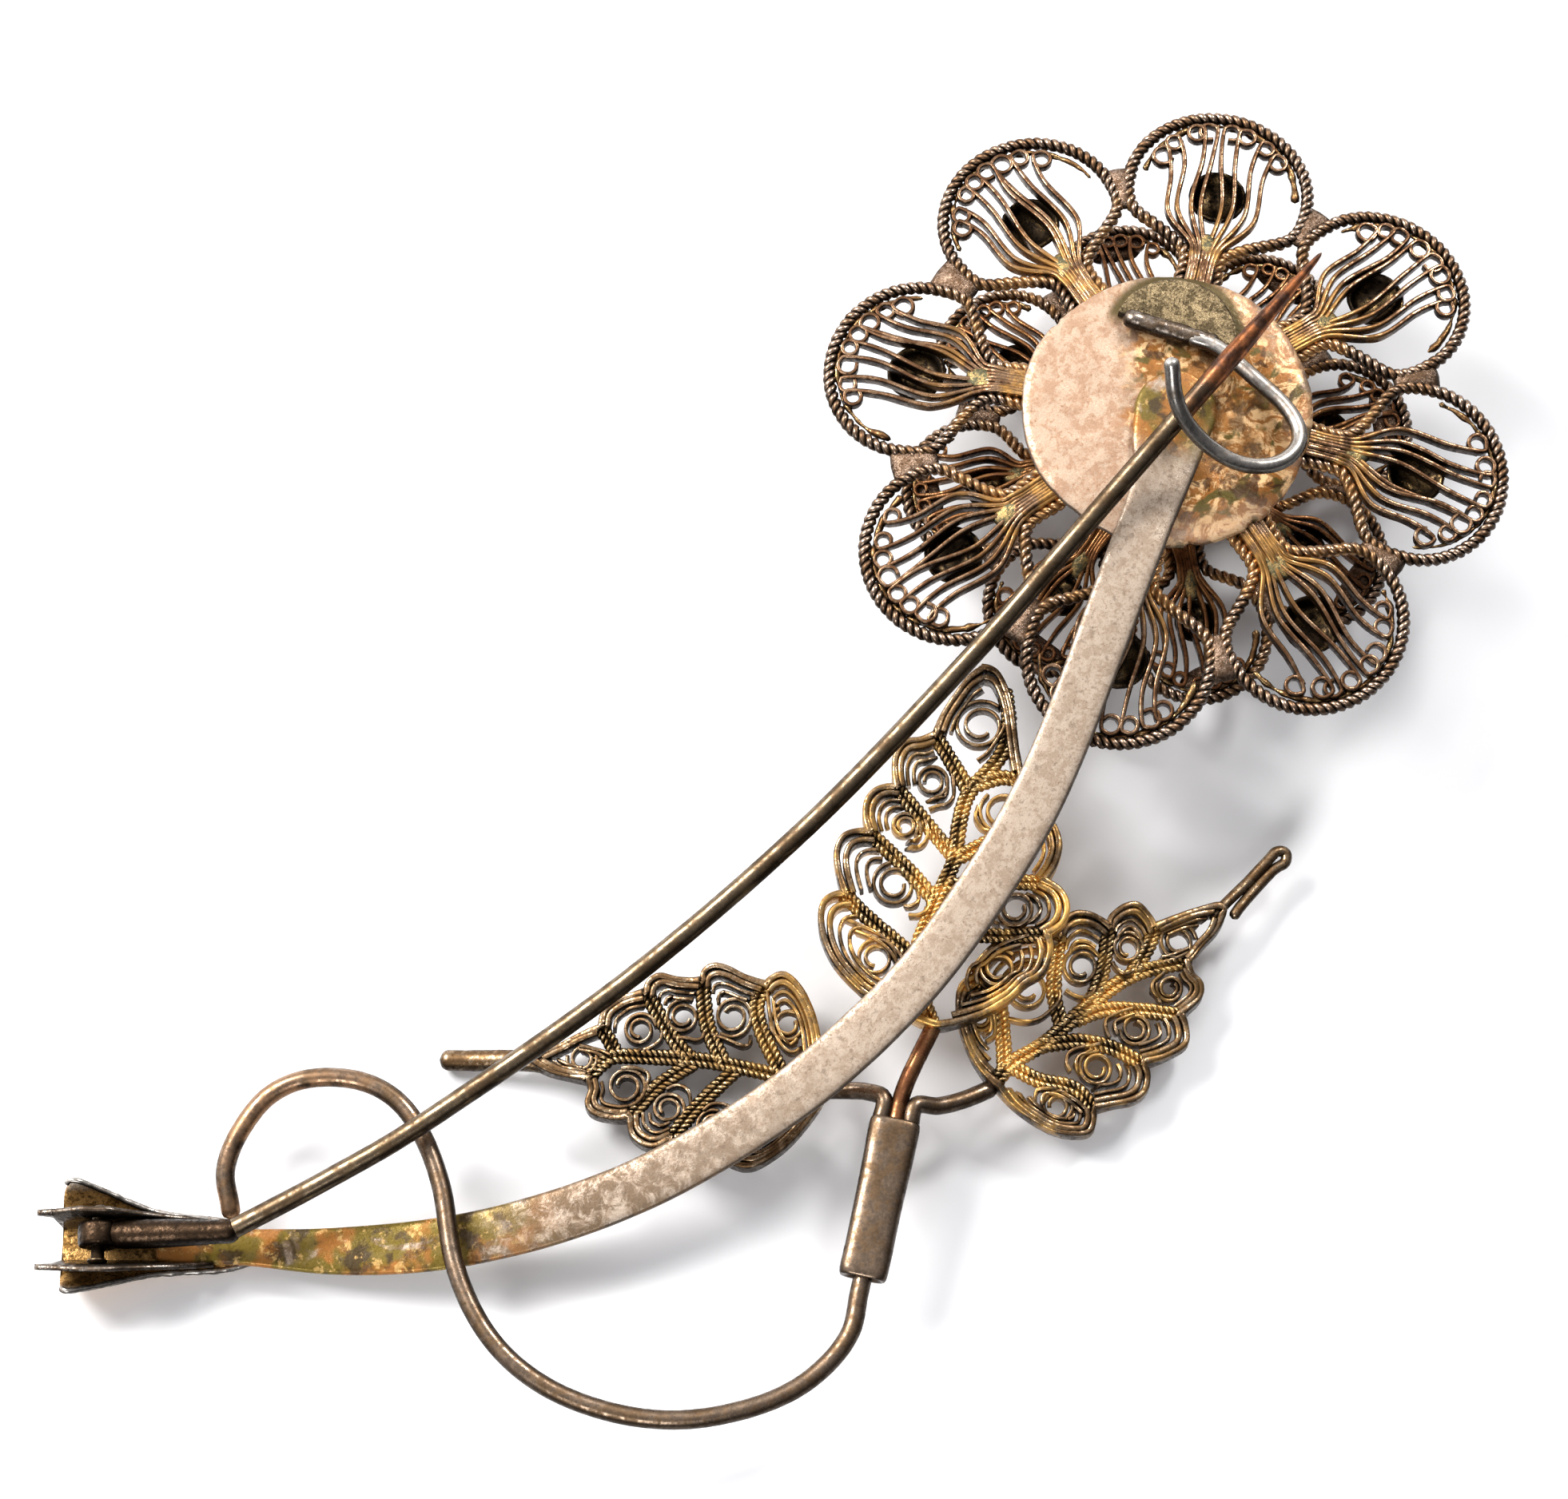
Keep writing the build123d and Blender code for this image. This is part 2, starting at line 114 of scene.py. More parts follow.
soft_light("window", (-0.14, 0.40, 0.40), (0, 0, 0), 0.26, 4.4, (1.0, 0.985, 0.97))
soft_light("lamp", (0.34, 0.10, 0.36), (0.01, 0, 0), 0.10, 1.3)
soft_light("fill", (-0.34, -0.22, 0.30), (0, 0, 0), 0.22, 1.2, (0.97, 0.98, 1.0))

# ------------------------------------------------------------------ node building


class Nodes:
    """Adds nodes to a tree: feeds gives each input a number, a colour or another node's output."""

    def __init__(self, tree):
        self.tree = tree

    def add(self, kind, feeds=None, **settings):
        node = self.tree.nodes.new(kind)
        for key, value in settings.items():
            setattr(node, key, value)
        for socket, value in (feeds or {}).items():
            if isinstance(value, bpy.types.NodeSocket):
                self.tree.links.new(value, node.inputs[socket])
            else:
                node.inputs[socket].default_value = value
        return node.outputs

    def geo(self, kind, feeds=None, **settings):
        return self.add("GeometryNode" + kind, feeds, **settings)

    def math(self, operation, *values, clamp=False):
        return self.add("ShaderNodeMath", dict(enumerate(values)), operation=operation, use_clamp=clamp)[0]

    def times(self, *values):
        return self.math("MULTIPLY", *values)

    def plus(self, *values):
        return self.math("ADD", *values)

    def less(self, *values, clamp=False):
        return self.math("SUBTRACT", *values, clamp=clamp)

    def vector(self, operation, *values):
        made = self.add("ShaderNodeVectorMath", dict(enumerate(values)), operation=operation)
        return made["Value"] if operation in ("LENGTH", "DISTANCE", "DOT_PRODUCT") else made["Vector"]

    def scaled(self, vector, factor):
        return self.add("ShaderNodeVectorMath", {0: vector, "Scale": factor}, operation="SCALE")["Vector"]

    def noise(self, where, scale, detail=4.0, roughness=0.55, stretch=0.0):
        return self.add("ShaderNodeTexNoise", {"Vector": where, "Scale": scale, "Detail": detail,
                                               "Roughness": roughness, "Distortion": stretch})[0]

    def spread(self, value, low, high, to_low=0.0, to_high=1.0):
        """to_low where the value is at low, to_high where it is at high, eased between them."""
        return self.add("ShaderNodeMapRange", {0: value, 1: low, 2: high, 3: to_low, 4: to_high},
                        interpolation_type="SMOOTHSTEP")[0]

    def patches(self, where, scale, low, high, detail=4.0, roughness=0.55, stretch=0.0, strength=1.0):
        """Noise cut into patches: 0 where it is under low, strength where it is over high."""
        return self.spread(self.noise(where, scale, detail, roughness, stretch), low, high, 0.0, strength)

    def blend(self, factor, first, second):
        """The first colour where factor is 0, the second where it is 1."""
        return self.add("ShaderNodeMix", {0: factor, 6: first, 7: second}, data_type="RGBA", blend_type="MIX")[2]

    def apart(self, vector):
        """A vector's X, Y and Z."""
        return self.add("ShaderNodeSeparateXYZ", {0: vector})

    def off_axis(self, where):
        """How far a place is from the flower's axis, as X, Y and Z."""
        return self.apart(self.vector("SUBTRACT", where, tuple(FLOWER)))


def named_sockets(tree, ins, outs):
    """Makes a group's named inputs (name: first value) and outputs (name: kind of socket)."""
    kinds = {float: "NodeSocketFloat", int: "NodeSocketInt", tuple: "NodeSocketColor"}
    for name, value in ins.items():
        kind = "NodeSocket" + value if isinstance(value, str) else kinds[type(value)]
        socket = tree.interface.new_socket(name, in_out="INPUT", socket_type=kind)
        if not isinstance(value, str):
            socket.default_value = value
    for name, kind in outs.items():
        tree.interface.new_socket(name, in_out="OUTPUT", socket_type="NodeSocket" + kind)


# ------------------------------------------------------------------ wire-drawing trees


def wire_tree(name, sizes, body):
    """A tree that draws wires along the paths it is given. body(nodes, inputs, curve, thickness) returns the mesh."""
    tree = bpy.data.node_groups.new(name, "GeometryNodeTree")
    named_sockets(tree, {"Geometry": "Geometry", **sizes, "Step": 0.0002, "Unevenness": 0.0, "Seed": 0,
                         "Material": "Material"}, {"Geometry": "Geometry"})
    nodes = Nodes(tree)
    ins = nodes.add("NodeGroupInput")
    curve = nodes.geo("MeshToCurve", {0: ins["Geometry"]})[0]
    curve = nodes.geo("CurveSplineType", {0: curve}, spline_type="CATMULL_ROM")[0]
    curve = nodes.geo("SetSplineResolution", {0: curve, "Resolution": 12})[0]
    curve = nodes.geo("ResampleCurve", {0: curve, "Length": ins["Step"]}, mode="LENGTH")[0]
    girth = nodes.geo("InputNamedAttribute", {"Name": "girth"}, data_type="FLOAT")[0]
    place = nodes.geo("InputPosition")[0]
    seeded = nodes.vector("ADD", place, nodes.scaled((1.0, 2.0, 3.0), nodes.times(ins["Seed"], 0.1)))
    ripple = nodes.less(nodes.noise(seeded, 900.0, 3.0), 0.5)
    uneven = nodes.math("MULTIPLY_ADD", ripple, ins["Unevenness"], 1.0)
    mesh = body(nodes, ins, curve, nodes.times(girth, uneven))
    mesh = nodes.geo("SetShadeSmooth", {0: mesh})[0]
    mesh = nodes.geo("RealizeInstances", {0: mesh})[0]
    mesh = nodes.geo("SetMaterial", {0: mesh, "Material": ins["Material"]})[0]
    nodes.add("NodeGroupOutput", {0: mesh})
    return tree


def round_ends(nodes, radius):
    """1 along a wire, falling to 0 over its last radius so that its ends are round; closed wires have no ends."""
    spline = nodes.geo("SplineParameter")
    whole = nodes.geo("SplineLength")["Length"]
    to_end = nodes.math("MINIMUM", spline["Length"], nodes.less(whole, spline["Length"]))
    inward = nodes.less(1.0, nodes.math("DIVIDE", to_end, radius), clamp=True)
    rounded = nodes.math("SQRT", nodes.less(1.0, nodes.times(inward, inward), clamp=True))
    closed = nodes.geo("InputSplineCyclic")[0]
    return nodes.math("MAXIMUM", nodes.math("MAXIMUM", rounded, closed), 0.03)


def round_wire(nodes, ins, curve, thickness):
    """A round wire with round ends."""
    scale = nodes.times(nodes.times(thickness, round_ends(nodes, ins["Radius"])), ins["Radius"])
    profile = nodes.geo("CurvePrimitiveCircle", {"Resolution": ins["Sides"], "Radius": 1.0})[0]
    return nodes.geo("CurveToMesh", {0: curve, 1: profile, "Scale": scale, "Fill Caps": True})[0]


def flat_wire(nodes, ins, curve, thickness):
    """A flat wire set on its edge, its corners rounded."""
    curve = nodes.geo("SetCurveNormal", {0: curve}, mode="Z_UP")[0]
    profile = nodes.geo("CurvePrimitiveQuadrilateral", {"Width": ins["Width"], "Height": ins["Height"]})[0]
    profile = nodes.geo("FilletCurve", {0: profile, "Radius": nodes.times(ins["Width"], 0.36),
                                                    "Count": 3}, mode="POLY")[0]
    return nodes.geo("CurveToMesh", {0: curve, 1: profile, "Scale": thickness, "Fill Caps": True})[0]


def twisted_wire(nodes, ins, curve, thickness):
    """Strands wound round the path; the mesh keeps how far each point stands out as its relief."""
    turns = nodes.math("DIVIDE", nodes.geo("SplineParameter")["Length"], ins["Pitch"])
    held = nodes.tree.nodes.new("GeometryNodeCaptureAttribute")
    held.capture_items.new("VECTOR", "Middle")
    held.capture_items.new("VECTOR", "Across")
    held.capture_items.new("FLOAT", "Turns")
    across = nodes.geo("InputNormal")["Normal"]
    for source, socket in ((curve, 0), (nodes.geo("InputPosition")[0], 1), (across, 2), (turns, 3)):
        nodes.tree.links.new(source, held.inputs[socket])
    middle, across, turns = held.outputs[1], held.outputs[2], held.outputs[3]
    strands = nodes.geo("DuplicateElements", {0: held.outputs[0], "Amount": ins["Strands"]},
                        domain="SPLINE")
    share = nodes.math("DIVIDE", strands["Duplicate Index"], ins["Strands"])
    angle = nodes.times(nodes.plus(turns, share), 2 * math.pi)
    beside = nodes.vector("CROSS_PRODUCT", nodes.geo("InputTangent")[0], across)
    offset = nodes.vector("ADD", nodes.scaled(across, nodes.math("COSINE", angle)),
                          nodes.scaled(beside, nodes.math("SINE", angle)))
    lay = nodes.times(ins["Strand Radius"], thickness)
    strand = nodes.geo("SetPosition", {0: strands[0], "Offset": nodes.scaled(offset, lay)})[0]
    profile = nodes.geo("CurvePrimitiveCircle", {"Resolution": ins["Sides"], "Radius": 1.0})[0]
    swollen = nodes.times(lay, 1.12)
    mesh = nodes.geo("CurveToMesh", {0: strand, 1: profile, "Scale": swollen, "Fill Caps": True})[0]
    outward = nodes.vector("DISTANCE", nodes.geo("InputPosition")[0], middle)
    relief = nodes.math("DIVIDE", outward, nodes.times(ins["Strand Radius"], 2.1))
    return nodes.geo("StoreNamedAttribute", {0: mesh, "Name": "relief", "Value": relief},
                     data_type="FLOAT", domain="POINT")[0]


ROUND = wire_tree("round wire", {"Radius": 0.0005, "Sides": 12}, round_wire)
FLAT = wire_tree("flat wire", {"Width": 0.0003, "Height": 0.0008}, flat_wire)
TWISTED = wire_tree("twisted wire", {"Strand Radius": 0.0002, "Strands": 2, "Pitch": 0.0016, "Sides": 8}, twisted_wire)


LENGTHS = ("radius", "strand_radius", "pitch", "width", "height", "step")


def drawn(name, tree, paths, material, **sizes):
    """Draws wires along paths of metre points and returns them as one plain mesh; sizes are in millimetres.
    A point may be a pair of place and girth. A path whose first entry is "closed" joins up."""
    mesh = bpy.data.meshes.new(name)
    verts, edges, girths = [], [], []
    for path in paths:
        closed = path[0] == "closed"
        points = path[1:] if closed else path
        first = len(verts)
        for point in points:
            place, girth = (point, 1.0) if isinstance(point, Vector) else point
            verts.append(place)
            girths.append(girth)
        edges += [(i, i + 1) for i in range(first, len(verts) - 1)]
        if closed:
            edges.append((len(verts) - 1, first))
    mesh.from_pydata(verts, edges, [])
    mesh.attributes.new("girth", "FLOAT", "POINT").data.foreach_set("value", girths)
    obj = bpy.data.objects.new(name, mesh)
    bpy.context.scene.collection.objects.link(obj)
    modifier = obj.modifiers.new("wires", "NODES")
    modifier.node_group = tree
    sockets = {item.name: item.identifier for item in tree.interface.items_tree if item.in_out == "INPUT"}
    for key, value in sizes.items():
        modifier[sockets[key.replace("_", " ").title()]] = value * MM if key in LENGTHS else value
    modifier[sockets["Material"]] = material
    depsgraph = bpy.context.evaluated_depsgraph_get()
    made = bpy.data.meshes.new_from_object(obj.evaluated_get(depsgraph), preserve_all_data_layers=True,
                                           depsgraph=depsgraph)
    obj.modifiers.clear()
    obj.data = made
    bpy.data.meshes.remove(mesh)
    return obj


# ------------------------------------------------------------------ skins


def skinned(name, verts, faces, material, levels=0):
    """A mesh from its points and faces, faces outwards, shaded smooth."""
    mesh = bpy.data.meshes.new(name)
    mesh.from_pydata(verts, [], faces)
    work = bmesh.new()
    work.from_mesh(mesh)
    bmesh.ops.remove_doubles(work, verts=work.verts, dist=1e-7)
    bmesh.ops.recalc_face_normals(work, faces=work.faces)
    work.to_mesh(mesh)
    work.free()
    mesh.polygons.foreach_set("use_smooth", [True] * len(mesh.polygons))
    mesh.materials.append(material)
    obj = bpy.data.objects.new(name, mesh)
    bpy.context.scene.collection.objects.link(obj)
    if levels:
        subdivision = obj.modifiers.new("round", "SUBSURF")
        subdivision.levels = subdivision.render_levels = levels
    return obj


def ring_faces(rings, start=0):
    """Faces over rings of equally many points, with a cap at both ends."""
    count = len(rings[0])
    faces = []
    for k in range(len(rings) - 1):
        a, b = start + k * count, start + (k + 1) * count
        faces += [(a + i, a + (i + 1) % count, b + (i + 1) % count, b + i) for i in range(count)]
    last = start + (len(rings) - 1) * count
    faces.append(tuple(range(start + count - 1, start - 1, -1)))
    faces.append(tuple(range(last, last + count)))
    return faces


def lofted(name, bodies, material, levels=0):
    """One piece from one or more bodies, each a list of rings."""
    verts, faces = [], []
    for rings in bodies:
        faces += ring_faces(rings, len(verts))
        verts += [point for ring in rings for point in ring]
    return skinned(name, verts, faces, material, levels)


def turned(centre, axis, profile, steps=24):
    """Rings of a turned body: profile is (radius, height along the axis) in millimetres."""
    axis = Vector(axis).normalized()
    side = axis.orthogonal().normalized()
    other = axis.cross(side)
    return [[centre + axis * height * MM + (side * math.cos(a) + other * math.sin(a)) * max(radius, 0.01) * MM
             for a in round_angles(steps)] for radius, height in profile]


def lump(centre, axis, length, width, height, seed, steps=10, sides=14):
    """Rings of a run of solder: long along axis, flattened, uneven."""
    axis = Vector(axis).normalized()
    side = UPWARDS.cross(axis).normalized()
    rise = axis.cross(side)
    rings = []
    for k in range(steps + 1):
        t = -math.cos(math.pi * k / steps)
        swell = max(math.sin(math.pi * k / steps), 0.01) ** 0.8
        ring = []
        for a in round_angles(sides):
            point = axis * t * length / 2 + (side * math.cos(a) * width + rise * math.sin(a) * height) * swell / 2
            shift = 1 + 0.22 * noise.noise(point * 1.3 + Vector((seed * 3.7, seed, 0)))
            ring.append(centre + point * shift * MM)
        rings.append(ring)
    return rings


def roughened(obj, amount, size):
    """Moves each point of a finished mesh a little along its normal."""
    for vertex in obj.data.vertices:
        vertex.co += vertex.normal * noise.fractal(vertex.co / (size * MM), 0.8, 2.2, 3) * amount * MM


# the light's side, from above and a little towards +Y: surfaces side-on to it get painted shade, surfaces square to it
# a painted lighter tone
LIT_SIDE = np.array((0.0, 0.28, 0.96), dtype=np.float32)
SHADED_BELOW = 0.3


def placed(obj, nodes, body):
    """Notes how squarely each point faces the light, for painted shade on its sides and a painted lighter tone on faces
    turned to the light, and hands the piece over.
    """
    facing = np.empty(len(obj.data.vertices) * 3, dtype=np.float32)
    obj.data.vertex_normals.foreach_get("vector", facing)
    # painted shade: 0 where a surface stands side-on to the light, 1 where it faces it or faces straight away
    level = np.abs(facing.reshape(-1, 3) @ LIT_SIDE)
    light_facing = np.clip((level - SHADED_BELOW) / (1 - SHADED_BELOW), 0, 1)
    obj.data.attributes.new("light_facing", "FLOAT", "POINT").data.foreach_set("value", light_facing)
    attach(obj, body)
    if nodes:
        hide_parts(*nodes)
    return obj


def wires(name, tree, paths, material, slot, *nodes, rough=None, body="brooch", **sizes):
    """Draws wires, roughens them by rough's amount and size, and hands them over."""
    piece = drawn(name, tree, paths, material, **sizes)
    if rough:
        roughened(piece, *rough)
    return placed(piece, nodes, body)


def shell(name, bodies, material, slot, *nodes, levels=0, rough=None, body="brooch"):
    """Makes one piece from bodies of rings, roughens it by rough's amount and size, and hands it over."""
    piece = lofted(name, bodies, material, levels)
    if rough:
        roughened(piece, *rough)
    return placed(piece, nodes, body)


# ------------------------------------------------------------------ finishes


def patina_group():
    """Old silver: a metal with patches of tarnish and grime, painted shade in the low places between raised strands and
    on sides turned from the light, and the unevenness they leave.
    """
    tree = bpy.data.node_groups.new("patina", "ShaderNodeTree")
    named_sockets(tree, {"Vector": "Vector", "Metal": (0.7, 0.66, 0.6, 1.0), "Tarnish": (0.4, 0.28, 0.15, 1.0),
                         "Grime": (0.03, 0.025, 0.02, 1.0), "Patch Size": 0.002, "Tarnish Cover": 0.5,
                         "Grime Cover": 0.3, "Relief": 1.0, "Light Facing": 1.0},
                  {"Color": "Color", "Roughness": "Float", "Height": "Float"})
    nodes = Nodes(tree)
    ins = nodes.add("NodeGroupInput")
    rate = nodes.math("DIVIDE", 1.0, ins["Patch Size"])
    broad = nodes.noise(ins["Vector"], rate, 5.0, 0.62, 0.6)
    fine = nodes.noise(ins["Vector"], nodes.times(rate, 4.3), 4.0, 0.6)
    speck = nodes.noise(ins["Vector"], nodes.times(rate, 11.0), 2.0, 0.7)
    mottle = nodes.plus(nodes.times(broad, 0.62), nodes.times(fine, 0.38))
    edge = nodes.math("MULTIPLY_ADD", ins["Tarnish Cover"], -0.4, 0.7)
    tarnished = nodes.spread(mottle, nodes.less(edge, 0.07), nodes.plus(edge, 0.07))
    # grime in noise patches, with painted shade added where the relief is low between a rope's strands
    low = nodes.less(1.0, ins["Relief"], clamp=True)
    dirt_edge = nodes.math("MULTIPLY_ADD", ins["Grime Cover"], -0.42, 0.78)
    dirt = nodes.plus(nodes.times(speck, 0.45), nodes.times(fine, 0.55))
    grime_and_strand_shade = nodes.spread(nodes.math("MULTIPLY_ADD", low, 0.5, dirt), nodes.less(dirt_edge, 0.06),
                         nodes.plus(dirt_edge, 0.08))
    colour = nodes.blend(tarnished, ins["Metal"], ins["Tarnish"])
    colour = nodes.blend(nodes.times(grime_and_strand_shade, 0.92), colour, ins["Grime"])
    shade = nodes.spread(speck, 0.3, 0.7, 0.82, 1.12)
    # painted shade on sides turned from the light, and a slightly lighter painted tone where a surface faces it
    lit_and_shaded = nodes.spread(ins["Light Facing"], 0.2, 0.95, 0.16, 1.08)
    colour = nodes.scaled(colour, nodes.times(shade, lit_and_shaded))
    rough = nodes.plus(nodes.spread(fine, 0.3, 0.7, 0.2, 0.36),
                       nodes.plus(nodes.times(tarnished, 0.14), nodes.times(grime_and_strand_shade, 0.2)))
    height = nodes.plus(nodes.times(fine, 0.7), nodes.times(speck, 0.3))
    nodes.add("NodeGroupOutput", {"Color": colour, "Roughness": rough, "Height": height})
    return tree


PATINA = patina_group()


def nearness(nodes, where, place, close, far):
    """1 within close millimetres of a place, 0 beyond far."""
    away = nodes.vector("DISTANCE", where, tuple(place))
    return nodes.spread(away, close * MM, far * MM, 1.0, 0.0)


def metal(name, silver, tarnish, grime, patch=2.0, cover=0.5, dirt=0.3, bump=0.02, relief=False, metallic=0.95,
          painted=None):
    """An old metal with tarnish and grime, painted shade on each piece's sides turned from the light and, with relief,
    painted shade between its strands. painted(nodes, where, colour) may add this finish's own colouring.
    """
    material = bpy.data.materials.new(name)
    material.use_nodes = True
    tree = material.node_tree
    shader = tree.nodes["Principled BSDF"]
    nodes = Nodes(tree)
    where = nodes.add("ShaderNodeTexCoord")["Object"]
    # the light-facing attribute paints shade on the sides of each piece
    feeds = {"Vector": where, "Metal": (*silver, 1), "Tarnish": (*tarnish, 1), "Grime": (*grime, 1),
             "Patch Size": patch * MM, "Tarnish Cover": cover, "Grime Cover": dirt,
             "Light Facing": nodes.add("ShaderNodeAttribute", attribute_name="light_facing")["Fac"]}
    # relief paints shade between a rope's strands, where it is low
    if relief:
        stand = nodes.add("ShaderNodeAttribute", attribute_name="relief")["Fac"]
        feeds["Relief"] = nodes.spread(stand, 0.62, 0.97)
    group = tree.nodes.new("ShaderNodeGroup")
    group.node_tree = PATINA
    for socket, value in feeds.items():
        if isinstance(value, bpy.types.NodeSocket):
            tree.links.new(value, group.inputs[socket])
        else:
            group.inputs[socket].default_value = value
    colour = group.outputs["Color"]
    if painted:
        colour = painted(nodes, where, colour)
    tree.links.new(colour, shader.inputs["Base Color"])
    tree.links.new(group.outputs["Roughness"], shader.inputs["Roughness"])
    shader.inputs["Metallic"].default_value = metallic
    shader.inputs["Specular IOR Level"].default_value = 0.2
    lift = nodes.add("ShaderNodeBump", {"Strength": 0.7, "Distance": bump * MM, "Height": group.outputs["Height"]})[0]
    tree.links.new(lift, shader.inputs["Normal"])
    return material


def warmed(amount, tint, centre, close, far):
    """Colouring that turns warm towards one place, in broken patches."""
    def paint(nodes, where, colour):
        near = nearness(nodes, where, centre, close, far)
        broken = nodes.patches(where, 420.0, 0.42, 0.58, 4.0, 0.6)
        return nodes.blend(nodes.times(nodes.times(near, broken), amount), colour, (*tint, 1))
    return paint


TAB_CENTRE, TAB_RADIUS, TAB_TURN = (2.95, 2.85), 3.2, math.radians(-58)


def disc_paint(nodes, where, colour):
    """Pale at one side, orange, brown and olive at the other, where the flame was."""
    ember, straw = (0.33, 0.13, 0.03, 1), (0.86, 0.55, 0.27, 1)
    moss_green, char = (0.11, 0.082, 0.02, 1), (0.05, 0.022, 0.01, 1)
    soot_brown, soot_black = (0.34, 0.15, 0.04, 1), (0.1, 0.05, 0.018, 1)
    flame_at, tab_at = at(0.9, -1.2, DISC_BACK), tuple(at(*TAB_CENTRE, DISC_BACK))
    apart = nodes.off_axis(where)
    slant = nodes.less(nodes.times(apart["X"], 0.85), nodes.times(apart["Y"], 0.5))
    wander = nodes.times(nodes.less(nodes.noise(where, 260.0, 4.0, 0.6, 1.0), 0.5), 9 * MM)
    burnt = nodes.spread(nodes.plus(slant, wander), -3.0 * MM, -0.4 * MM)
    from_flame = nodes.math("MULTIPLY_ADD", wander, 0.5, nodes.vector("DISTANCE", where, tuple(flame_at)))
    burnt = nodes.times(burnt, nodes.spread(from_flame, 4.6 * MM, 6.8 * MM, 1.0, 0.45))
    flecks = nodes.patches(where, 620.0, 0.47, 0.57, 5.0, 0.68, 2.2)
    rust = nodes.blend(flecks, ember, straw)
    rust = nodes.blend(nodes.patches(where, 520.0, 0.54, 0.64, 3.0, 0.5, 1.5), rust, moss_green)
    deep = nodes.patches(where, 700.0, 0.5, 0.58, 4.0, 0.6, 0.5)
    rust = nodes.blend(nodes.times(deep, 0.85), rust, char)
    colour = nodes.blend(burnt, colour, rust)
    # painted shade: a dark ring on the disc round the tab's arc, on its outer side only, where the plate meets the disc
    from_tab = nodes.vector("DISTANCE", where, tab_at)
    beside = nodes.math("ABSOLUTE", nodes.less(from_tab, (TAB_RADIUS + 0.15) * MM))
    shade = nodes.plus(beside, nodes.times(nodes.noise(where, 700.0, 3.0), 0.5 * MM))
    over = nodes.vector("DOT_PRODUCT", nodes.vector("SUBTRACT", where, tab_at),
                        (-math.sin(TAB_TURN), math.cos(TAB_TURN), 0.0))
    groove_shade = nodes.times(nodes.spread(shade, 0.35 * MM, 0.9 * MM, 0.95, 0.0),
                         nodes.spread(over, -0.6 * MM, 0.4 * MM))
    colour = nodes.blend(groove_shade, colour, (0.085, 0.062, 0.02, 1))
    inside_hook = nearness(nodes, where, at(1.2, -1.6, DISC_BACK), 2.0, 5.0)
    soot = nodes.patches(where, 430.0, 0.36, 0.56, 5.0, 0.65, 1.2)
    sooty = nodes.blend(nodes.patches(where, 1100.0, 0.42, 0.58, 4.0, 0.6), soot_brown, soot_black)
    return nodes.blend(nodes.times(nodes.times(inside_hook, soot), 0.85), colour, sooty)


def stem_paint(nodes, where, colour):
    """Plain along most of the strip, soiled towards the hinge, brown and orange where its two ends were heated."""
    soil_brown, pit_brown = (0.15, 0.095, 0.052, 1), (0.17, 0.12, 0.085, 1)
    ember, olive = (0.36, 0.14, 0.025, 1), (0.16, 0.11, 0.012, 1)
    char, straw = (0.035, 0.02, 0.01, 1), (0.66, 0.41, 0.14, 1)
    along = nodes.off_axis(where)["X"]
    soil = nodes.times(nodes.spread(along, -52 * MM, -30 * MM, 0.95, 0.0),
                       nodes.patches(where, 1300.0, 0.37, 0.56, 5.0, 0.7, 0.6))
    colour = nodes.blend(soil, colour, soil_brown)
    pits = nodes.patches(where, 2600.0, 0.57, 0.68, 3.0, 0.65, strength=0.5)
    colour = nodes.blend(pits, colour, pit_brown)
    hinge_end = nearness(nodes, where, at(-62, -4, 1), 8, 15)
    disc_end = nearness(nodes, where, at(0.2, 0.2, DISC_BACK), 2.2, 4.2)
    near = nodes.math("MAXIMUM", hinge_end, disc_end)
    heated = nodes.patches(where, 480.0, 0.3, 0.44, 4.0, 0.6, 0.8)
    hot = nodes.blend(nodes.patches(where, 330.0, 0.45, 0.55, 3.0), ember, olive)
    dark = nodes.patches(where, 640.0, 0.5, 0.62, 4.0, 0.6)
    hot = nodes.blend(nodes.times(dark, 0.85), hot, char)
    flecks = nodes.patches(where, 1500.0, 0.56, 0.66, 3.0, 0.7)
    hot = nodes.blend(nodes.times(flecks, 0.7), hot, straw)
    return nodes.blend(nodes.times(nodes.times(near, heated), 0.92), colour, hot)


def bright_edges(nodes, where, colour):
    """Silvery where the sheet is turned up highest."""
    high = nodes.apart(where)["Z"]
    return nodes.blend(nodes.spread(high, 2.1 * MM, 2.8 * MM, 0.0, 0.95), colour, (0.78, 0.69, 0.58, 1))


def pin_paint(nodes, where, colour):
    """Coppery brown towards the point, brassy elsewhere, drawn streaks along it."""
    streak_brown, copper_red, dull_copper = (0.13, 0.09, 0.045, 1), (0.36, 0.13, 0.05, 1), (0.09, 0.045, 0.03, 1)
    along = nodes.apart(where)["X"]
    streak = nodes.noise(nodes.vector("MULTIPLY", where, (0.12, 1.0, 1.0)), 3200.0, 3.0, 0.6)
    colour = nodes.blend(nodes.spread(streak, 0.5, 0.75, 0.0, 0.6), colour, streak_brown)
    wander = nodes.times(nodes.noise(where, 500.0, 4.0), 6 * MM)
    tip = nodes.spread(nodes.plus(along, wander), FLOWER.x + 1 * MM, FLOWER.x + 6 * MM)
    copper = nodes.blend(nodes.patches(where, 800.0, 0.4, 0.6, 4.0), copper_red, dull_copper)
    return nodes.blend(tip, colour, copper)


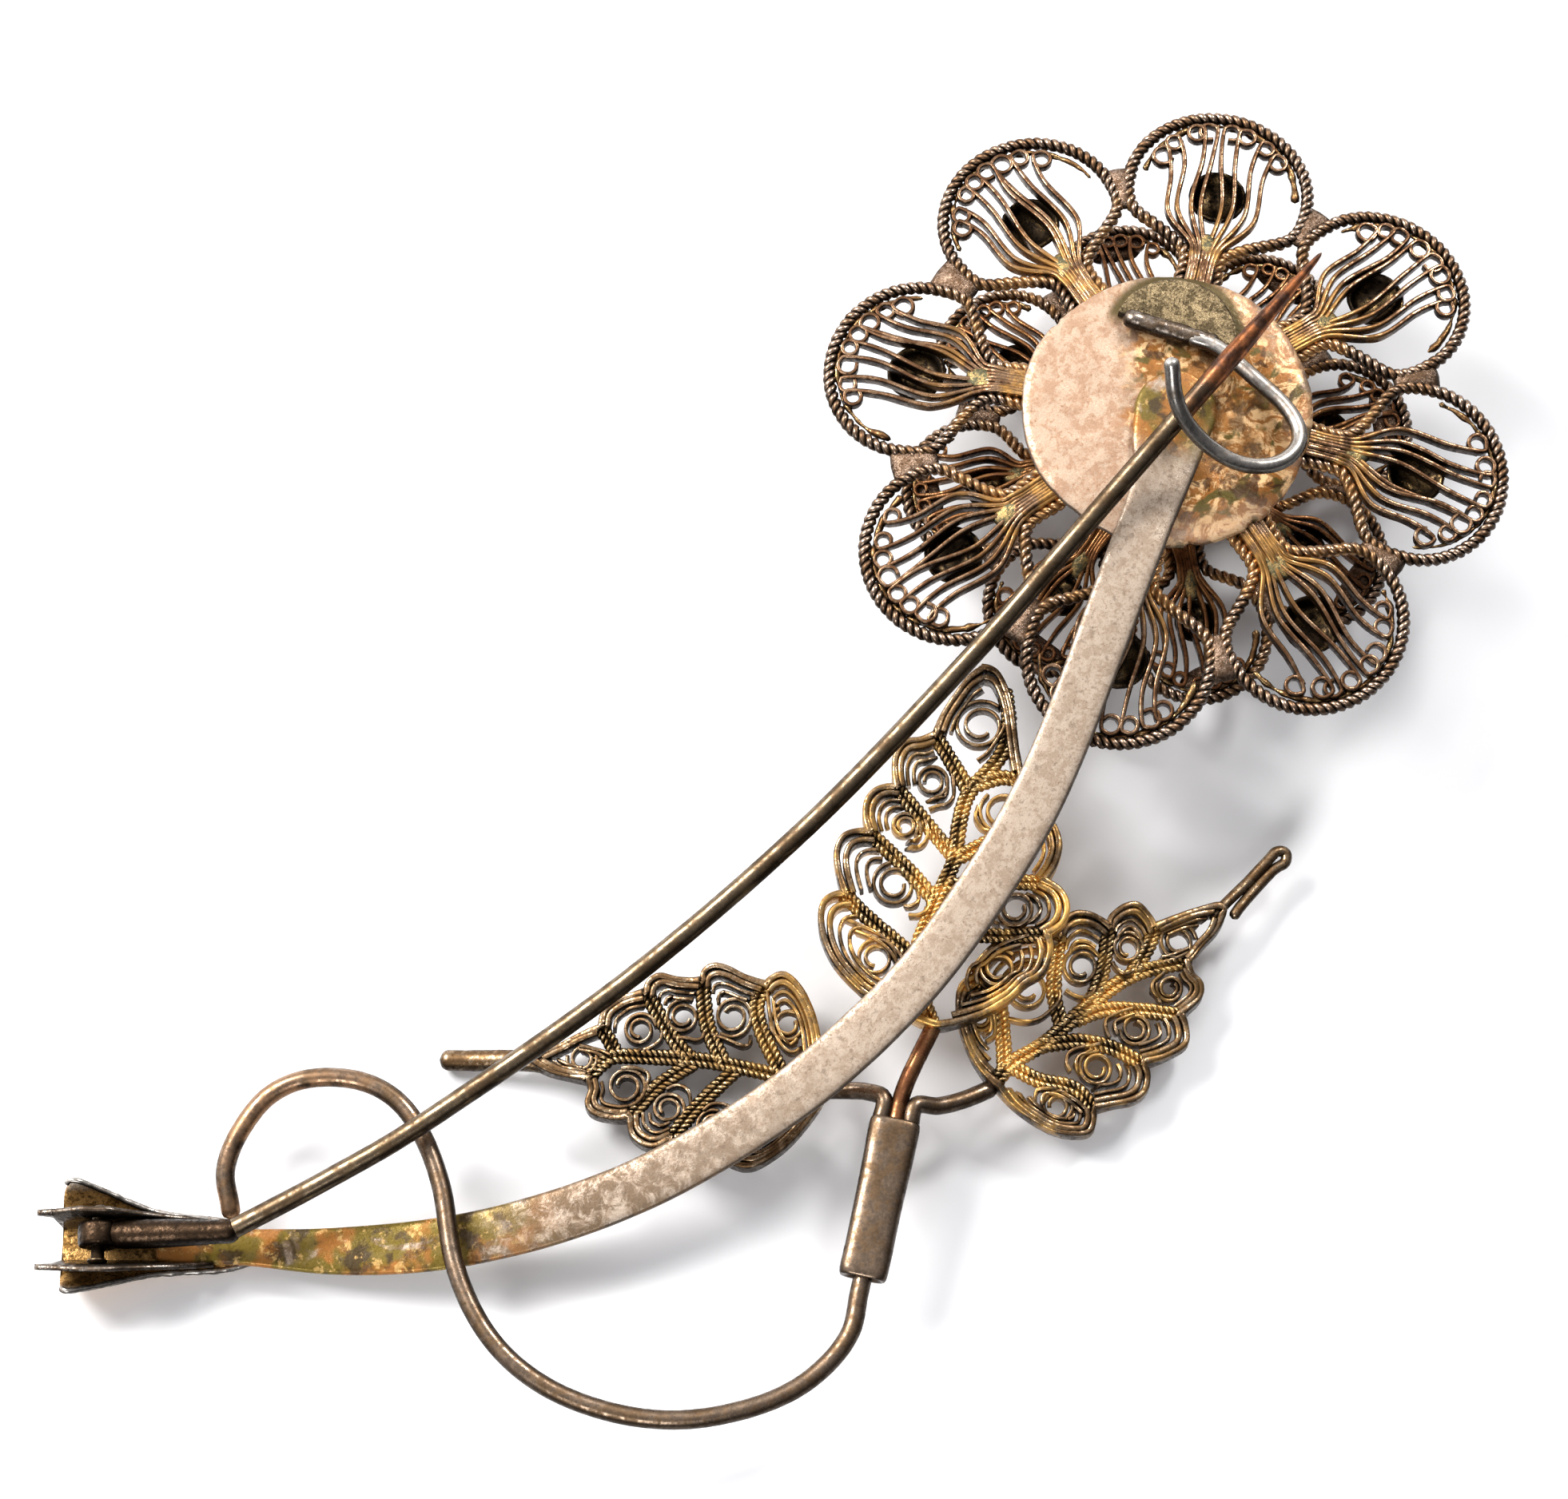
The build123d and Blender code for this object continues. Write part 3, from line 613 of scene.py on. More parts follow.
ROPE = metal("petal rope", (0.48, 0.338, 0.245), (0.2, 0.112, 0.06), (0.04, 0.025, 0.015), 1.8, 0.5, 0.34, 0.012,
             relief=True, painted=warmed(0.6, (0.6, 0.32, 0.12), FLOWER + Vector((0, 0, 8 * MM)), 9, 15))
FAN = metal("fan wire", (0.4, 0.245, 0.145), (0.12, 0.06, 0.03), (0.015, 0.011, 0.008), 1.2, 0.55, 0.4, 0.012,
            painted=warmed(0.75, (0.64, 0.34, 0.1), FLOWER + Vector((0, 0, 9 * MM)), 8, 14))
RUST = metal("inner fan wire", (0.36, 0.18, 0.085), (0.17, 0.07, 0.03), (0.015, 0.009, 0.006), 1.0, 0.6, 0.5, 0.02,
             painted=warmed(0.5, (0.42, 0.2, 0.07), FLOWER + Vector((0, 0, 4 * MM)), 9, 15))
SOLDER = metal("petal solder", (0.46, 0.31, 0.12), (0.12, 0.11, 0.06), (0.03, 0.024, 0.015), 0.6, 0.5, 0.45, 0.08,
               metallic=0.6)
WEB = metal("valley solder", (0.32, 0.215, 0.15), (0.14, 0.08, 0.045), (0.03, 0.019, 0.011), 0.5, 0.5, 0.5, 0.1,
            metallic=0.8)
AMBER = metal("rim solder", (0.42, 0.27, 0.12), (0.2, 0.1, 0.04), (0.035, 0.02, 0.01), 0.8, 0.55, 0.45, 0.04)
EAR = metal("ear", (0.36, 0.3, 0.25), (0.13, 0.09, 0.06), (0.02, 0.014, 0.01), 1.0, 0.55, 0.4, 0.03)
BEAD = metal("dark bead", (0.22, 0.14, 0.06), (0.045, 0.03, 0.018), (0.01, 0.008, 0.006), 1.4, 0.6, 0.6, 0.03)
DISC = metal("disc sheet", (0.63, 0.455, 0.325), (0.43, 0.265, 0.17), (0.17, 0.1, 0.055), 0.8, 0.5, 0.4, 0.03,
             metallic=0.3, painted=disc_paint)
TAB = metal("tab solder", (0.32, 0.235, 0.125), (0.1, 0.07, 0.033), (0.025, 0.02, 0.01), 0.6, 0.5, 0.5, 0.12,
            metallic=0.5)
STEM = metal("stem strip", (0.56, 0.445, 0.345), (0.37, 0.275, 0.2), (0.1, 0.07, 0.048), 0.6, 0.5, 0.42, 0.02,
             metallic=0.35, painted=stem_paint)
HINGE = metal("hinge", (0.09, 0.055, 0.033), (0.04, 0.024, 0.014), (0.018, 0.012, 0.008), 1.0, 0.6, 0.5, 0.04)
CALYX = metal("calyx", (0.85, 0.48, 0.16), (0.3, 0.15, 0.035), (0.03, 0.02, 0.01), 0.8, 0.5, 0.52, 0.1,
              metallic=0.5, painted=bright_edges)
PIN = metal("pin wire", (0.26, 0.19, 0.12), (0.105, 0.068, 0.038), (0.04, 0.027, 0.015), 2.6, 0.5, 0.25, 0.008,
            painted=pin_paint)
HOOK = metal("bright wire", (0.66, 0.61, 0.55), (0.34, 0.28, 0.23), (0.11, 0.085, 0.06), 2.4, 0.4, 0.2, 0.006)
LEAF = metal("leaf wire", (0.47, 0.335, 0.21), (0.19, 0.11, 0.052), (0.02, 0.013, 0.008), 0.9, 0.56, 0.46, 0.02,
             painted=warmed(0.8, (0.76, 0.43, 0.12), at(-26, -15, 4), 5, 14))
RIB = metal("leaf rib", (0.62, 0.43, 0.22), (0.33, 0.19, 0.07), (0.04, 0.022, 0.01), 0.7, 0.5, 0.4, 0.04, relief=True,
            painted=warmed(0.85, (0.88, 0.53, 0.17), at(-26, -15, 4), 6, 16))
STALK = metal("stalk wire", (0.33, 0.235, 0.165), (0.17, 0.108, 0.062), (0.05, 0.035, 0.022), 1.6, 0.5, 0.3, 0.012,
              painted=warmed(0.5, (0.5, 0.28, 0.15), at(-60, 0, 3), 3, 9))
COPPER = metal("copper stalk", (0.48, 0.23, 0.1), (0.25, 0.1, 0.045), (0.06, 0.03, 0.015), 1.3, 0.5, 0.35, 0.015)

# ------------------------------------------------------------------ petals

PETAL_ANGLES = [-7.4, 37.0, 81.5, 127.8, 173.6, 218.8, 263.8, 308.0]
PETALS = len(PETAL_ANGLES)
OUTER_LOOP = 4.52
BLADES = {"outer": 8, "inner": 7}
plate_low, plate_high, plate_radius = extent(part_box("front_plate"))
ROOT_HEIGHT = {"outer": DISC_FRONT - 0.48, "inner": plate_low - 0.43}
# root: where a petal starts; middle and loop: the centre and radius of its round end; turn: degrees between the tiers;
# neck: points up its side, outwards and across.
TIERS = {
    "outer": dict(root=6.4, fall=math.tan(math.radians(6.5)), middle=13.45, loop=OUTER_LOOP, turn=0.0,
                  neck=[(6.6, 1.0), (7.8, 0.98), (8.9, 0.92), (9.6, 1.1), (10.25, 1.85), (10.8, 2.85), (11.25, 3.7),
                        (11.75, 4.18)]),
    "inner": dict(root=4.6, fall=math.tan(math.radians(12)), middle=10.2, loop=3.42, turn=22.5,
                  neck=[(4.8, 0.9), (5.8, 0.85), (6.5, 0.85), (7.1, 1.15), (7.6, 1.9), (8.0, 2.55), (8.5, 2.98)]),
}

# how much wider than its rule a rim is, so that neighbours nearly touch
FULLNESS = 1.055


def on_petal(tier, index, u, v, lift=0.0):
    """A place on one petal: u outwards from the flower's axis, v across, lift towards the back."""
    rule = TIERS[tier]
    angle = math.radians(PETAL_ANGLES[index] + rule["turn"])
    z = ROOT_HEIGHT[tier] - (u - rule["root"]) * rule["fall"] + lift
    return at(u * math.cos(angle) - v * math.sin(angle), u * math.sin(angle) + v * math.cos(angle), z)


def rim_path(tier, index):
    """A petal's outline: up one side of its neck, round its end and down the other, each a little its own."""
    rule = TIERS[tier]
    dice = random.Random(f"{tier} rim {index}")
    wide = rule["loop"] * (FULLNESS + dice.uniform(-0.01, 0.01))
    lean = dice.uniform(-0.15, 0.15)
    side = [(u, v * (FULLNESS if v > 1.5 else 1)) for u, v in rule["neck"]]
    arc = [(rule["middle"] + rule["loop"] * math.cos(a), wide * math.sin(a))
           for a in (math.radians(d) for d in range(100, -101, -20))]
    whole = side + arc + [(u, -v) for u, v in reversed(side)]
    return [on_petal(tier, index, u, v + lean * max(u - rule["root"] - 3, 0) / 8) for u, v in whole]


def fan_paths(tier, index):
    """Thin flat wires, gathered side by side at the root, each an S that ends in a ring under the rim."""
    rule = TIERS[tier]
    dice = random.Random(f"{tier} fan {index}")
    size = rule["loop"] / OUTER_LOOP
    count = BLADES[tier]
    start = rule["middle"] - 4.3 * size
    sweep = dice.choice((-16, -9, 9, 16)) + dice.uniform(-3, 3)
    paths = []
    for k in range(count):
        t = -1 + 2 * k / (count - 1)
        turn = math.radians(t * 56 + sweep + dice.uniform(-4, 4))
        out = Vector((math.cos(turn), math.sin(turn)))
        side = Vector((-out.y, out.x)) * (1 if t + dice.uniform(-0.4, 0.4) > 0 else -1)
        ring = dice.uniform(0.4, 0.52) * size
        eye = Vector((rule["middle"], 0)) + out * (rule["loop"] - 0.42 - ring)
        touch = eye - side * ring
        flare = Vector((start + 0.9 * size, 0.9 * t * size))
        reach = touch - flare
        bulge = Vector((-reach.y, reach.x)).normalized() * (1 if t > 0 else -1)
        lower = flare + reach * 0.34 + bulge * (0.36 + 0.42 * abs(t)) * size
        upper = flare + reach * 0.74 + bulge * (0.12 * abs(t) - 0.02) * size + side * dice.uniform(-0.15, 0.15)
        points = [Vector((rule["root"] + 0.5, 0.62 * t)), Vector((start - 0.6, 0.6 * t * size)),
                  Vector((start + 0.1, 0.66 * t * size)), flare, lower, upper]
        first = math.atan2(-side.y, -side.x)
        spin = 1 if (-side).x * out.y - (-side).y * out.x > 0 else -1
        points += [eye + Vector((math.cos(a), math.sin(a))) * ring
                   for a in (first + spin * math.radians(d) for d in range(0, dice.choice((290, 340, 340)), 48))]
        lift = dice.uniform(-0.05, 0.1)
        paths.append([(on_petal(tier, index, p.x, p.y, lift + (0.2 if i < 3 else 0.05)), 0.85 if i > 5 else 1.0)
                      for i, p in enumerate(points)])
    return paths


for tier, strand, blade in (("outer", 0.175, 0.26), ("inner", 0.165, 0.24)):
    wires(f"{tier}_petal_ropes", TWISTED, [rim_path(tier, i) for i in range(PETALS)], ROPE,
          "rope_silver", *[f"{tier}_rim_{i}" for i in range(1, PETALS + 1)],
          strand_radius=strand, strands=2, pitch=0.92, sides=7, step=0.1, unevenness=0.2)
    wires(f"{tier}_petal_fans", FLAT, [path for i in range(PETALS) for path in fan_paths(tier, i)],
          FAN if tier == "outer" else RUST, "fan_silver", *[f"{tier}_fan_{i}" for i in range(1, PETALS + 1)],
          width=blade, height=0.72, step=0.16, unevenness=0.35)

bands = []
for tier in ("outer", "inner"):
    for i in range(PETALS):
        dice = random.Random(f"{tier} band {i}")
        inside = TIERS[tier]["loop"] - 0.4
        bands.append([(on_petal(tier, i, TIERS[tier]["middle"] + inside * math.cos(a), inside * math.sin(a),
                                -0.1 + dice.uniform(-0.08, 0.08)), dice.uniform(0.35, 1.25))
                      for a in (math.radians(d) for d in range(-84, 85, 7))])
wires("rim_solder_bands", ROUND, bands, AMBER, "rope_silver", rough=(0.05, 0.5), radius=0.19, sides=8, step=0.12,
      unevenness=1.2)


def web_rings(tier, index):
    """Solder that fills the narrow place between two neighbouring rims, thickest where they are closest."""
    rule = TIERS[tier]
    edge = [rule["neck"][-2], rule["neck"][-1]]
    edge += [(rule["middle"] + rule["loop"] * math.cos(a), rule["loop"] * math.sin(a))
             for a in (math.radians(d) for d in (104, 97, 90, 82))]
    shifts, thicknesses = (0.3, 0.0, 0.0, 0.0, 0.0, -0.1), (0.06, 0.28, 0.38, 0.4, 0.3, 0.08)
    rings = []
    for (u, v), shift, thick in zip(edge, shifts, thicknesses):
        near = on_petal(tier, index, u + shift, v * FULLNESS)
        far = on_petal(tier, (index + 1) % PETALS, u + shift, -v * FULLNESS)
        half, middle = (near - far) / 2, (near + far) / 2
        rings.append([middle + half * math.cos(a) + Vector((0, 0, thick * math.sin(a))) * MM
                      for a in round_angles(14)])
    return rings


roots, valleys = [], []
for tier in ("outer", "inner"):
    rule = TIERS[tier]
    size = rule["loop"] / OUTER_LOOP
    for i in range(PETALS):
        outward = on_petal(tier, i, 10, 0) - on_petal(tier, i, 9, 0)
        foot = rule["middle"] - 5.0 * size
        roots.append(lump(on_petal(tier, i, foot - 0.6, 0, -0.12), outward, 4.8 * size, 1.7, 0.66, i + 1))
        roots.append(lump(on_petal(tier, i, foot + 0.9, 0, 0.2), outward, 3.0 * size, 1.5 * size, 0.66, i + 20))
        valleys.append(web_rings(tier, i))
        if tier == "inner":
            valleys.append(lump(on_petal(tier, i, rule["middle"] + 2.3, 0.2, -0.15), outward.cross(UPWARDS),
                                3.4, 1.5, 0.5, i + 80))
shell("petal_root_solder", roots, SOLDER, "dark_silver", levels=1, rough=(0.06, 0.5))
shell("petal_valley_solder", valleys, WEB, "rope_silver", levels=1, rough=(0.1, 0.4))

# a bead's profile as shares of its radius: out from its axis, then along it
CUP_PROFILE = [(0.0, 0.42), (0.55, 0.36), (0.8, 0.2), (0.9, 0.02), (1.0, 0.0), (1.04, 0.08), (1.0, 0.18), (0.93, 0.22),
               (0.9, 0.4), (0.78, 0.66), (0.56, 0.86), (0.3, 0.97), (0.0, 1.0)]
for tier, reach, radius in (("outer", 13.4, 1.5), ("inner", 9.4, 1.1)):
    cups = []
    for i in range(PETALS):
        seat_at = on_petal(tier, i, reach, 0, -0.35)
        outward = on_petal(tier, i, 10, 0) - on_petal(tier, i, 9, 0)
        facing = Vector((0, 0, -1)) - outward.normalized() * outward.normalized().dot(Vector((0, 0, -1)))
        cups.append(turned(seat_at, facing, [(r * radius, h * radius) for r, h in CUP_PROFILE]))
    shell(f"{tier}_petal_cups", cups, BEAD, "dark_silver", f"{tier}_beads", rough=(0.03, 0.5))

# ------------------------------------------------------------------ back disc, post and front


def disc_rings():
    """The disc as rings from its middle over its nicked rim and back under it, a little hollow and hammered."""
    dice = random.Random("disc edge")
    nicks = [(math.radians(a), w, d) for a, w, d in ((-96, 0.05, 0.28), (-84, 0.04, 0.2), (-122, 0.05, 0.22),
                                                    (-60, 0.03, 0.15), (100, 0.04, 0.12))]
    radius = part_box("back_disc")[1].x / MM - FLOWER.x / MM - 0.08
    edge = []
    for a in round_angles(144):
        r = radius + 0.07 * math.sin(3 * a + 1) + 0.05 * math.sin(7 * a) + dice.uniform(-0.025, 0.025)
        for place, width, depth in nicks:
            gap = abs((a - place + math.pi) % (2 * math.pi) - math.pi)
            r -= depth * max(0.0, 1 - gap / width)
        edge.append((a, r))

    def ring(share, z, inset=0.0):
        made = []
        for a, r in edge:
            rr = (r - inset) * share
            rise = 0.09 * noise.fractal(Vector((rr * math.cos(a), rr * math.sin(a), 0)) * 0.45, 0.9, 2.0, 3)
            sag = -0.16 * (rr / 7.7) ** 6
            made.append(around(rr, a, z + (rise + sag) * (1 if z > DISC_MIDDLE else 0.6)))
        return made
    top = [ring(s, DISC_BACK - 0.03) for s in (0.004, 0.12, 0.25, 0.38, 0.5, 0.62, 0.74, 0.85, 0.94)]
    rim = [ring(1, DISC_BACK - 0.05, 0.1), ring(1, DISC_BACK - 0.14, 0.02), ring(1, DISC_FRONT + 0.18, 0.0),
           ring(1, DISC_FRONT + 0.06, 0.08)]
    under = [ring(s, DISC_FRONT + 0.04) for s in (0.9, 0.6, 0.3, 0.004)]
    return top + rim + under


shell("back_disc_sheet", [disc_rings()], DISC, "disc_silver", "back_disc")

plate_profile = [(0, plate_high), (3.0, plate_high), (plate_radius - 0.5, plate_high - 0.02),
                 (plate_radius - 0.1, plate_high - 0.08), (plate_radius, (plate_high + plate_low) / 2),
                 (plate_radius - 0.1, plate_low + 0.06), (plate_radius - 0.6, plate_low), (0, plate_low)]
shell("front_plate_sheet", [turned(FLOWER, UPWARDS, plate_profile, 64)], DISC, "disc_silver", "front_plate")
post_low, post_high, post_radius = extent(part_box("flower_post"))
post_profile = [(0, post_low), (post_radius + 0.25, post_low), (post_radius + 0.1, post_low + 0.3),
                (post_radius - 0.15, post_low + 0.8), (post_radius - 0.2, (post_low + post_high) / 2),
                (post_radius - 0.15, post_high - 0.8), (post_radius + 0.1, post_high - 0.3),
                (post_radius + 0.25, post_high), (0, post_high)]
shell("flower_post_tube", [turned(FLOWER, UPWARDS, post_profile, 32)], HINGE, "disc_silver", "flower_post",
      rough=(0.04, 0.8))

bead_low, bead_high, _ = extent(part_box("centre_bead"))
bead_radius = (bead_high - bead_low) / 2
cup_low, cup_high, cup_radius = extent(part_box("centre_cup"))
bead_profile = [(bead_radius * math.sin(math.radians(a)), bead_radius - bead_radius * math.cos(math.radians(a)))
                for a in range(0, 181, 9)]
shell("centre_bead_ball", [turned(FLOWER, UPWARDS, bead_profile, 48)], HOOK, "dark_silver", "centre_bead")


def cup_rings():
    """A round cup whose lip is cut into eight points."""
    rings = []
    lip_from = cup_high - 1.2
    rows = [(0.0, cup_high), (0.55, cup_high), (0.66, cup_high - 0.15), (0.86, cup_high - 0.9), (0.94, cup_high - 1.7),
            (1.0, cup_low + 0.25), (0.98, cup_low), (0.87, cup_low + 0.1), (0.8, cup_high - 1.6), (0.7, cup_high - 0.9),
            (0.4, cup_high - 0.45), (0.0, cup_high - 0.42)]
    for share, z in rows:
        ring = []
        for a in round_angles(96):
            scallop = 0.5 + 0.5 * math.cos(8 * a)
            lower = max(0.0, (lip_from - z) / (lip_from - cup_low))
            ring.append(around(cup_radius * max(share, 0.004), a, z + 0.55 * lower * (1 - scallop)))
        rings.append(ring)
    return rings


shell("centre_cup_shell", [cup_rings()], HINGE, "disc_silver", "centre_cup")
collar = [around(cup_radius + 0.55, a, plate_low - 0.22) for a in round_angles(30)]
wires("front_collar_rope", TWISTED, [["closed", *collar]], ROPE, "rope_silver", strand_radius=0.2, strands=2,
      pitch=1.2, sides=8, step=0.14)

# ------------------------------------------------------------------ stem strip

# the middle line's place and half the strip's width there, from the disc to the hinge
STEM_ROWS = [(0.1, -0.45, 2.2), (-1.3, -1.5, 1.95), (-2.6, -2.6, 1.6), (-4.2, -3.6, 1.42), (-7.5, -5.45, 1.4),
             (-14.5, -9.4, 1.38), (-19.2, -11.7, 1.42), (-23.9, -13.3, 1.4), (-29.0, -14.5, 1.38),
             (-34.0, -14.9, 1.42), (-38.2, -14.8, 1.4), (-42.4, -14.2, 1.4), (-46.3, -13.3, 1.4),
             (-50.05, -11.95, 1.42), (-53.7, -10.2, 1.4), (-57.1, -8.1, 1.38), (-60.4, -5.5, 1.25),
             (-63.3, -2.8, 1.0), (-65.0, -1.35, 0.88), (-66.4, -0.15, 0.95), (-67.4, 0.7, 0.8)]
STRIP_THICK = 0.6
# across in half widths, and height above the strip's underside
STRIP_SECTION = [(-1.0, 0.3), (-0.97, 0.46), (-0.9, 0.56), (-0.6, 0.6), (0.0, 0.62), (0.6, 0.6), (0.9, 0.56),
                 (0.97, 0.46), (1.0, 0.3), (0.96, 0.1), (0.88, 0.02), (0.0, 0.0), (-0.88, 0.02), (-0.96, 0.1)]


def stem_rings():
    """The strip: flat on the disc, bent down at its edge and sloping to the calyx, with a round end on the disc."""
    low_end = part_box("calyx")[1].z / MM
    high = DISC_BACK
    bend = (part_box("back_disc")[0].x - FLOWER.x) / MM * 0.9
    slope = (high - low_end) / (bend + 62.0)
    last = len(STEM_ROWS) - 1
    fine = []
    for k in range(last):
        around_k = [STEM_ROWS[min(max(k + j, 0), last)] for j in (-1, 0, 1, 2)]
        for t in (0, 0.25, 0.5, 0.75):
            mix = [(-t + 2 * t * t - t ** 3) / 2, (2 - 5 * t * t + 3 * t ** 3) / 2, (t + 4 * t * t - 3 * t ** 3) / 2,
                   (t ** 3 - t * t) / 2]
            fine.append((sum((Vector(row[:2]) * m for row, m in zip(around_k, mix)), Vector((0, 0))),
                         sum(row[2] * m for row, m in zip(around_k, mix))))
    fine.append((Vector(STEM_ROWS[-1][:2]), STEM_ROWS[-1][2]))
    first, way = fine[0][0], (fine[0][0] - fine[1][0]).normalized()
    nose = [(first + way * 2.2 * math.sin(math.radians(a)), fine[0][1] * math.cos(math.radians(a)))
            for a in (88, 75, 60, 45, 30, 15)]
    fine = nose + fine
    rings = []
    for k, (middle, half) in enumerate(fine):
        ahead, behind = fine[min(k + 1, len(fine) - 1)][0], fine[max(k - 1, 0)][0]
        way = (ahead - behind).normalized()
        side = Vector((-way.y, way.x))
        x = middle.x
        floor = high if x > bend else max(high + (x - bend) * slope, low_end)
        half = max(half + 0.03 * noise.noise(Vector((x * 0.9, 3.1, 0))), 0.06)
        ring = []
        for across, rise in STRIP_SECTION:
            p = middle + side * half * across
            wave = 0.04 * noise.fractal(Vector((p.x, p.y, 0)) * 0.8, 0.8, 2.0, 2) if rise > 0.4 else 0
            ring.append(at(p.x, p.y, floor + rise / 0.62 * STRIP_THICK + wave))
        rings.append(ring)
    return rings


shell("stem_strip_band", [stem_rings()], STEM, "stem_silver", "stem_strip", levels=1)

# ------------------------------------------------------------------ hinge: its axes run along the ears and across

RIVET = at(-69.4, 2.6, 3.0)
ALONG = Vector((math.cos(math.radians(-40)), math.sin(math.radians(-40)), 0))
ACROSS = Vector((-ALONG.y, ALONG.x, 0))


def on_hinge(along, across, z):
    """A place on the hinge: along the ears from the rivet, across them, and above the floor."""
    return Vector((RIVET.x, RIVET.y, 0)) + (ALONG * along + ACROSS * across + Vector((0, 0, z))) * MM


def calyx_rise(across):
    """How high the sheet of the fishtail stands: nearly flat between the ears, turned up beyond them."""
    return 2.3 * max(0.0, (abs(across) - 1.3) / 1.65) ** 1.15 + 0.12 * math.cos(min(abs(across), 1.5) * 1.05)


# along the hinge, and half the sheet's width there
CALYX_ROWS = [(-2.15, 1.7), (-2.05, 2.35), (-1.85, 2.8), (-1.55, 2.98), (-1.1, 2.93), (-0.5, 2.75), (0.3, 2.5),
              (1.3, 2.14), (2.6, 1.76), (4.2, 1.56), (6.2, 1.38), (7.6, 0.98), (8.6, 0.55), (9.0, 0.2)]


def calyx_rings():
    """The fishtail sheet, its top and underside in one ring for each row."""
    shares = [-1, -0.92, -0.75, -0.5, -0.25, 0, 0.25, 0.5, 0.75, 0.92, 1]
    rings = []
    for along, half in CALYX_ROWS:
        top = [on_hinge(along, half * s, 0.68 + calyx_rise(half * s) - (0.08 if abs(s) == 1 else 0)) for s in shares]
        under = [on_hinge(along, half * s * 0.97, 0.3 + calyx_rise(half * s) * 0.9) for s in reversed(shares)]
        rings.append(top + under)
    return rings


calyx_piece = shell("calyx_fishtail", [calyx_rings()], CALYX, "stem_silver", "calyx", levels=1, rough=(0.03, 0.6))
# an even light-facing value over the whole calyx, so its turned-up sheet gets almost none of the painted side shade
calyx_piece.data.attributes["light_facing"].data.foreach_set("value", [0.9] * len(calyx_piece.data.vertices))
lips = [[on_hinge(along, side * (half - 0.1), 0.6 + calyx_rise(half)) for along, half in CALYX_ROWS[2:]]
        for side in (-1, 1)]
wires("calyx_lips", ROUND, lips, HOOK, "stem_silver", rough=(0.04, 0.4), radius=0.15, sides=10, step=0.12,
      unevenness=0.6)


def ear_rings(side, jag):
    """One upright wall beside the knuckle, torn along its top and drawn out to a point behind."""
    inner, outer = 0.8 * side, 1.1 * side
    foot = 0.75
    lean = 0.3 * side if side < 0 else 0.03
    # along the hinge, then the wall's lower and upper edge there
    outlines = [(-3.1, 3.5, 3.6), (-2.8, 3.35, 3.75), (-2.35, 3.1, 3.85), (-2.1, foot, 3.95), (-1.4, foot, 4.25),
                (-0.8, foot, 4.5), (0.7, foot, 4.4), (2.2, foot, 3.5), (4.4, foot, 2.6), (6.2, foot, 1.3)]
    rows = []
    for k in range(len(outlines) - 1):
        for s in range(4):
            x, low, high = (a + (b - a) * s / 4 for a, b in zip(outlines[k], outlines[k + 1]))
            high += 0.13 * noise.fractal(Vector((x * 2.2, jag, 0)), 0.6, 2.2, 3)
            rows.append([on_hinge(x, wall + lean * (z - foot), z) for wall, z in
                         ((outer, low), (outer, (low + high) / 2), (outer, high - 0.08), ((inner + outer) / 2, high),
                          (inner, high - 0.08), (inner, (low + high) / 2), (inner, low))])
    return rows


shell("left_ear_wall", [ear_rings(1, 5.0)], EAR, "stem_silver", "left_ear")
shell("right_ear_wall", [ear_rings(-1, 9.0)], EAR, "stem_silver", "right_ear")
rivet_end = [(0.35, -0.2), (0.52, -0.12), (0.5, -0.02), (0.3, 0.12), (0, 0.16)]
rivet_half = 1.42
rivet_profile = [(radius, -rivet_half - out) for radius, out in reversed(rivet_end)]
rivet_profile += [(radius, rivet_half + out) for radius, out in rivet_end]
shell("hinge_rivet_pin", [turned(RIVET, ACROSS, rivet_profile)], PIN, "pin_steel", "hinge_rivet")

pin_root = at(-64.2, -1.7, 3.9)
stub_way = (pin_root - RIVET).normalized()
stub_long = (pin_root - RIVET).length / MM
barrel = [(0.41, -0.62), (0.85, -0.65), (1.0, -0.58), (1.05, -0.4), (1.03, -0.1), (1.05, 0.1), (1.04, 0.4), (1.0, 0.58),
          (0.85, 0.65), (0.41, 0.62)]
neck_profile = [(0.35, 0.4), (0.72, 0.9), (0.75, 1.4), (0.75, 2.6), (0.71, 3.9), (0.64, stub_long - 1.1),
                (0.62, stub_long - 0.4), (0.64, stub_long), (0.6, stub_long + 0.22), (0.48, stub_long + 0.42),
                (0.28, stub_long + 0.57), (0, stub_long + 0.63)]
shell("pin_knuckle_barrel", [turned(RIVET, ACROSS, barrel, 32), turned(RIVET, stub_way, neck_profile)], HINGE,
      "pin_steel", "pin_knuckle", rough=(0.03, 0.6), body="knuckle")

# ------------------------------------------------------------------ pin

PIN_LINE = [(-64.2, -1.7), (-58.4, -3.05), (-52.6, -4.07), (-40.6, -5.24), (-28.8, -5.2), (-17.0, -4.0), (-9.5, -2.83),
            (-3.3, -1.85), (0.6, -1.24), (3.5, -0.78), (7.6, -0.14), (10.35, 0.3)]
PIN_GIRTH = [1, 1, 1, 1, 1, 1, 1, 1, 1, 1.02, 0.6, 0.22]
rise = math.tan(math.radians(9))
pin_path = [(at(x, y, 3.9 + (x + 64.2) * rise), girth) for (x, y), girth in zip(PIN_LINE, PIN_GIRTH)]
pin_path[0] = (pin_path[0][0] - (pin_path[1][0] - pin_path[0][0]).normalized() * 0.5 * MM, 1)
wires("pin_wire_shank", ROUND, [pin_path], PIN, "pin_steel", "pin_wire", body="pin", radius=0.52, sides=20,
      step=0.16, unevenness=0.02)

# ------------------------------------------------------------------ catch


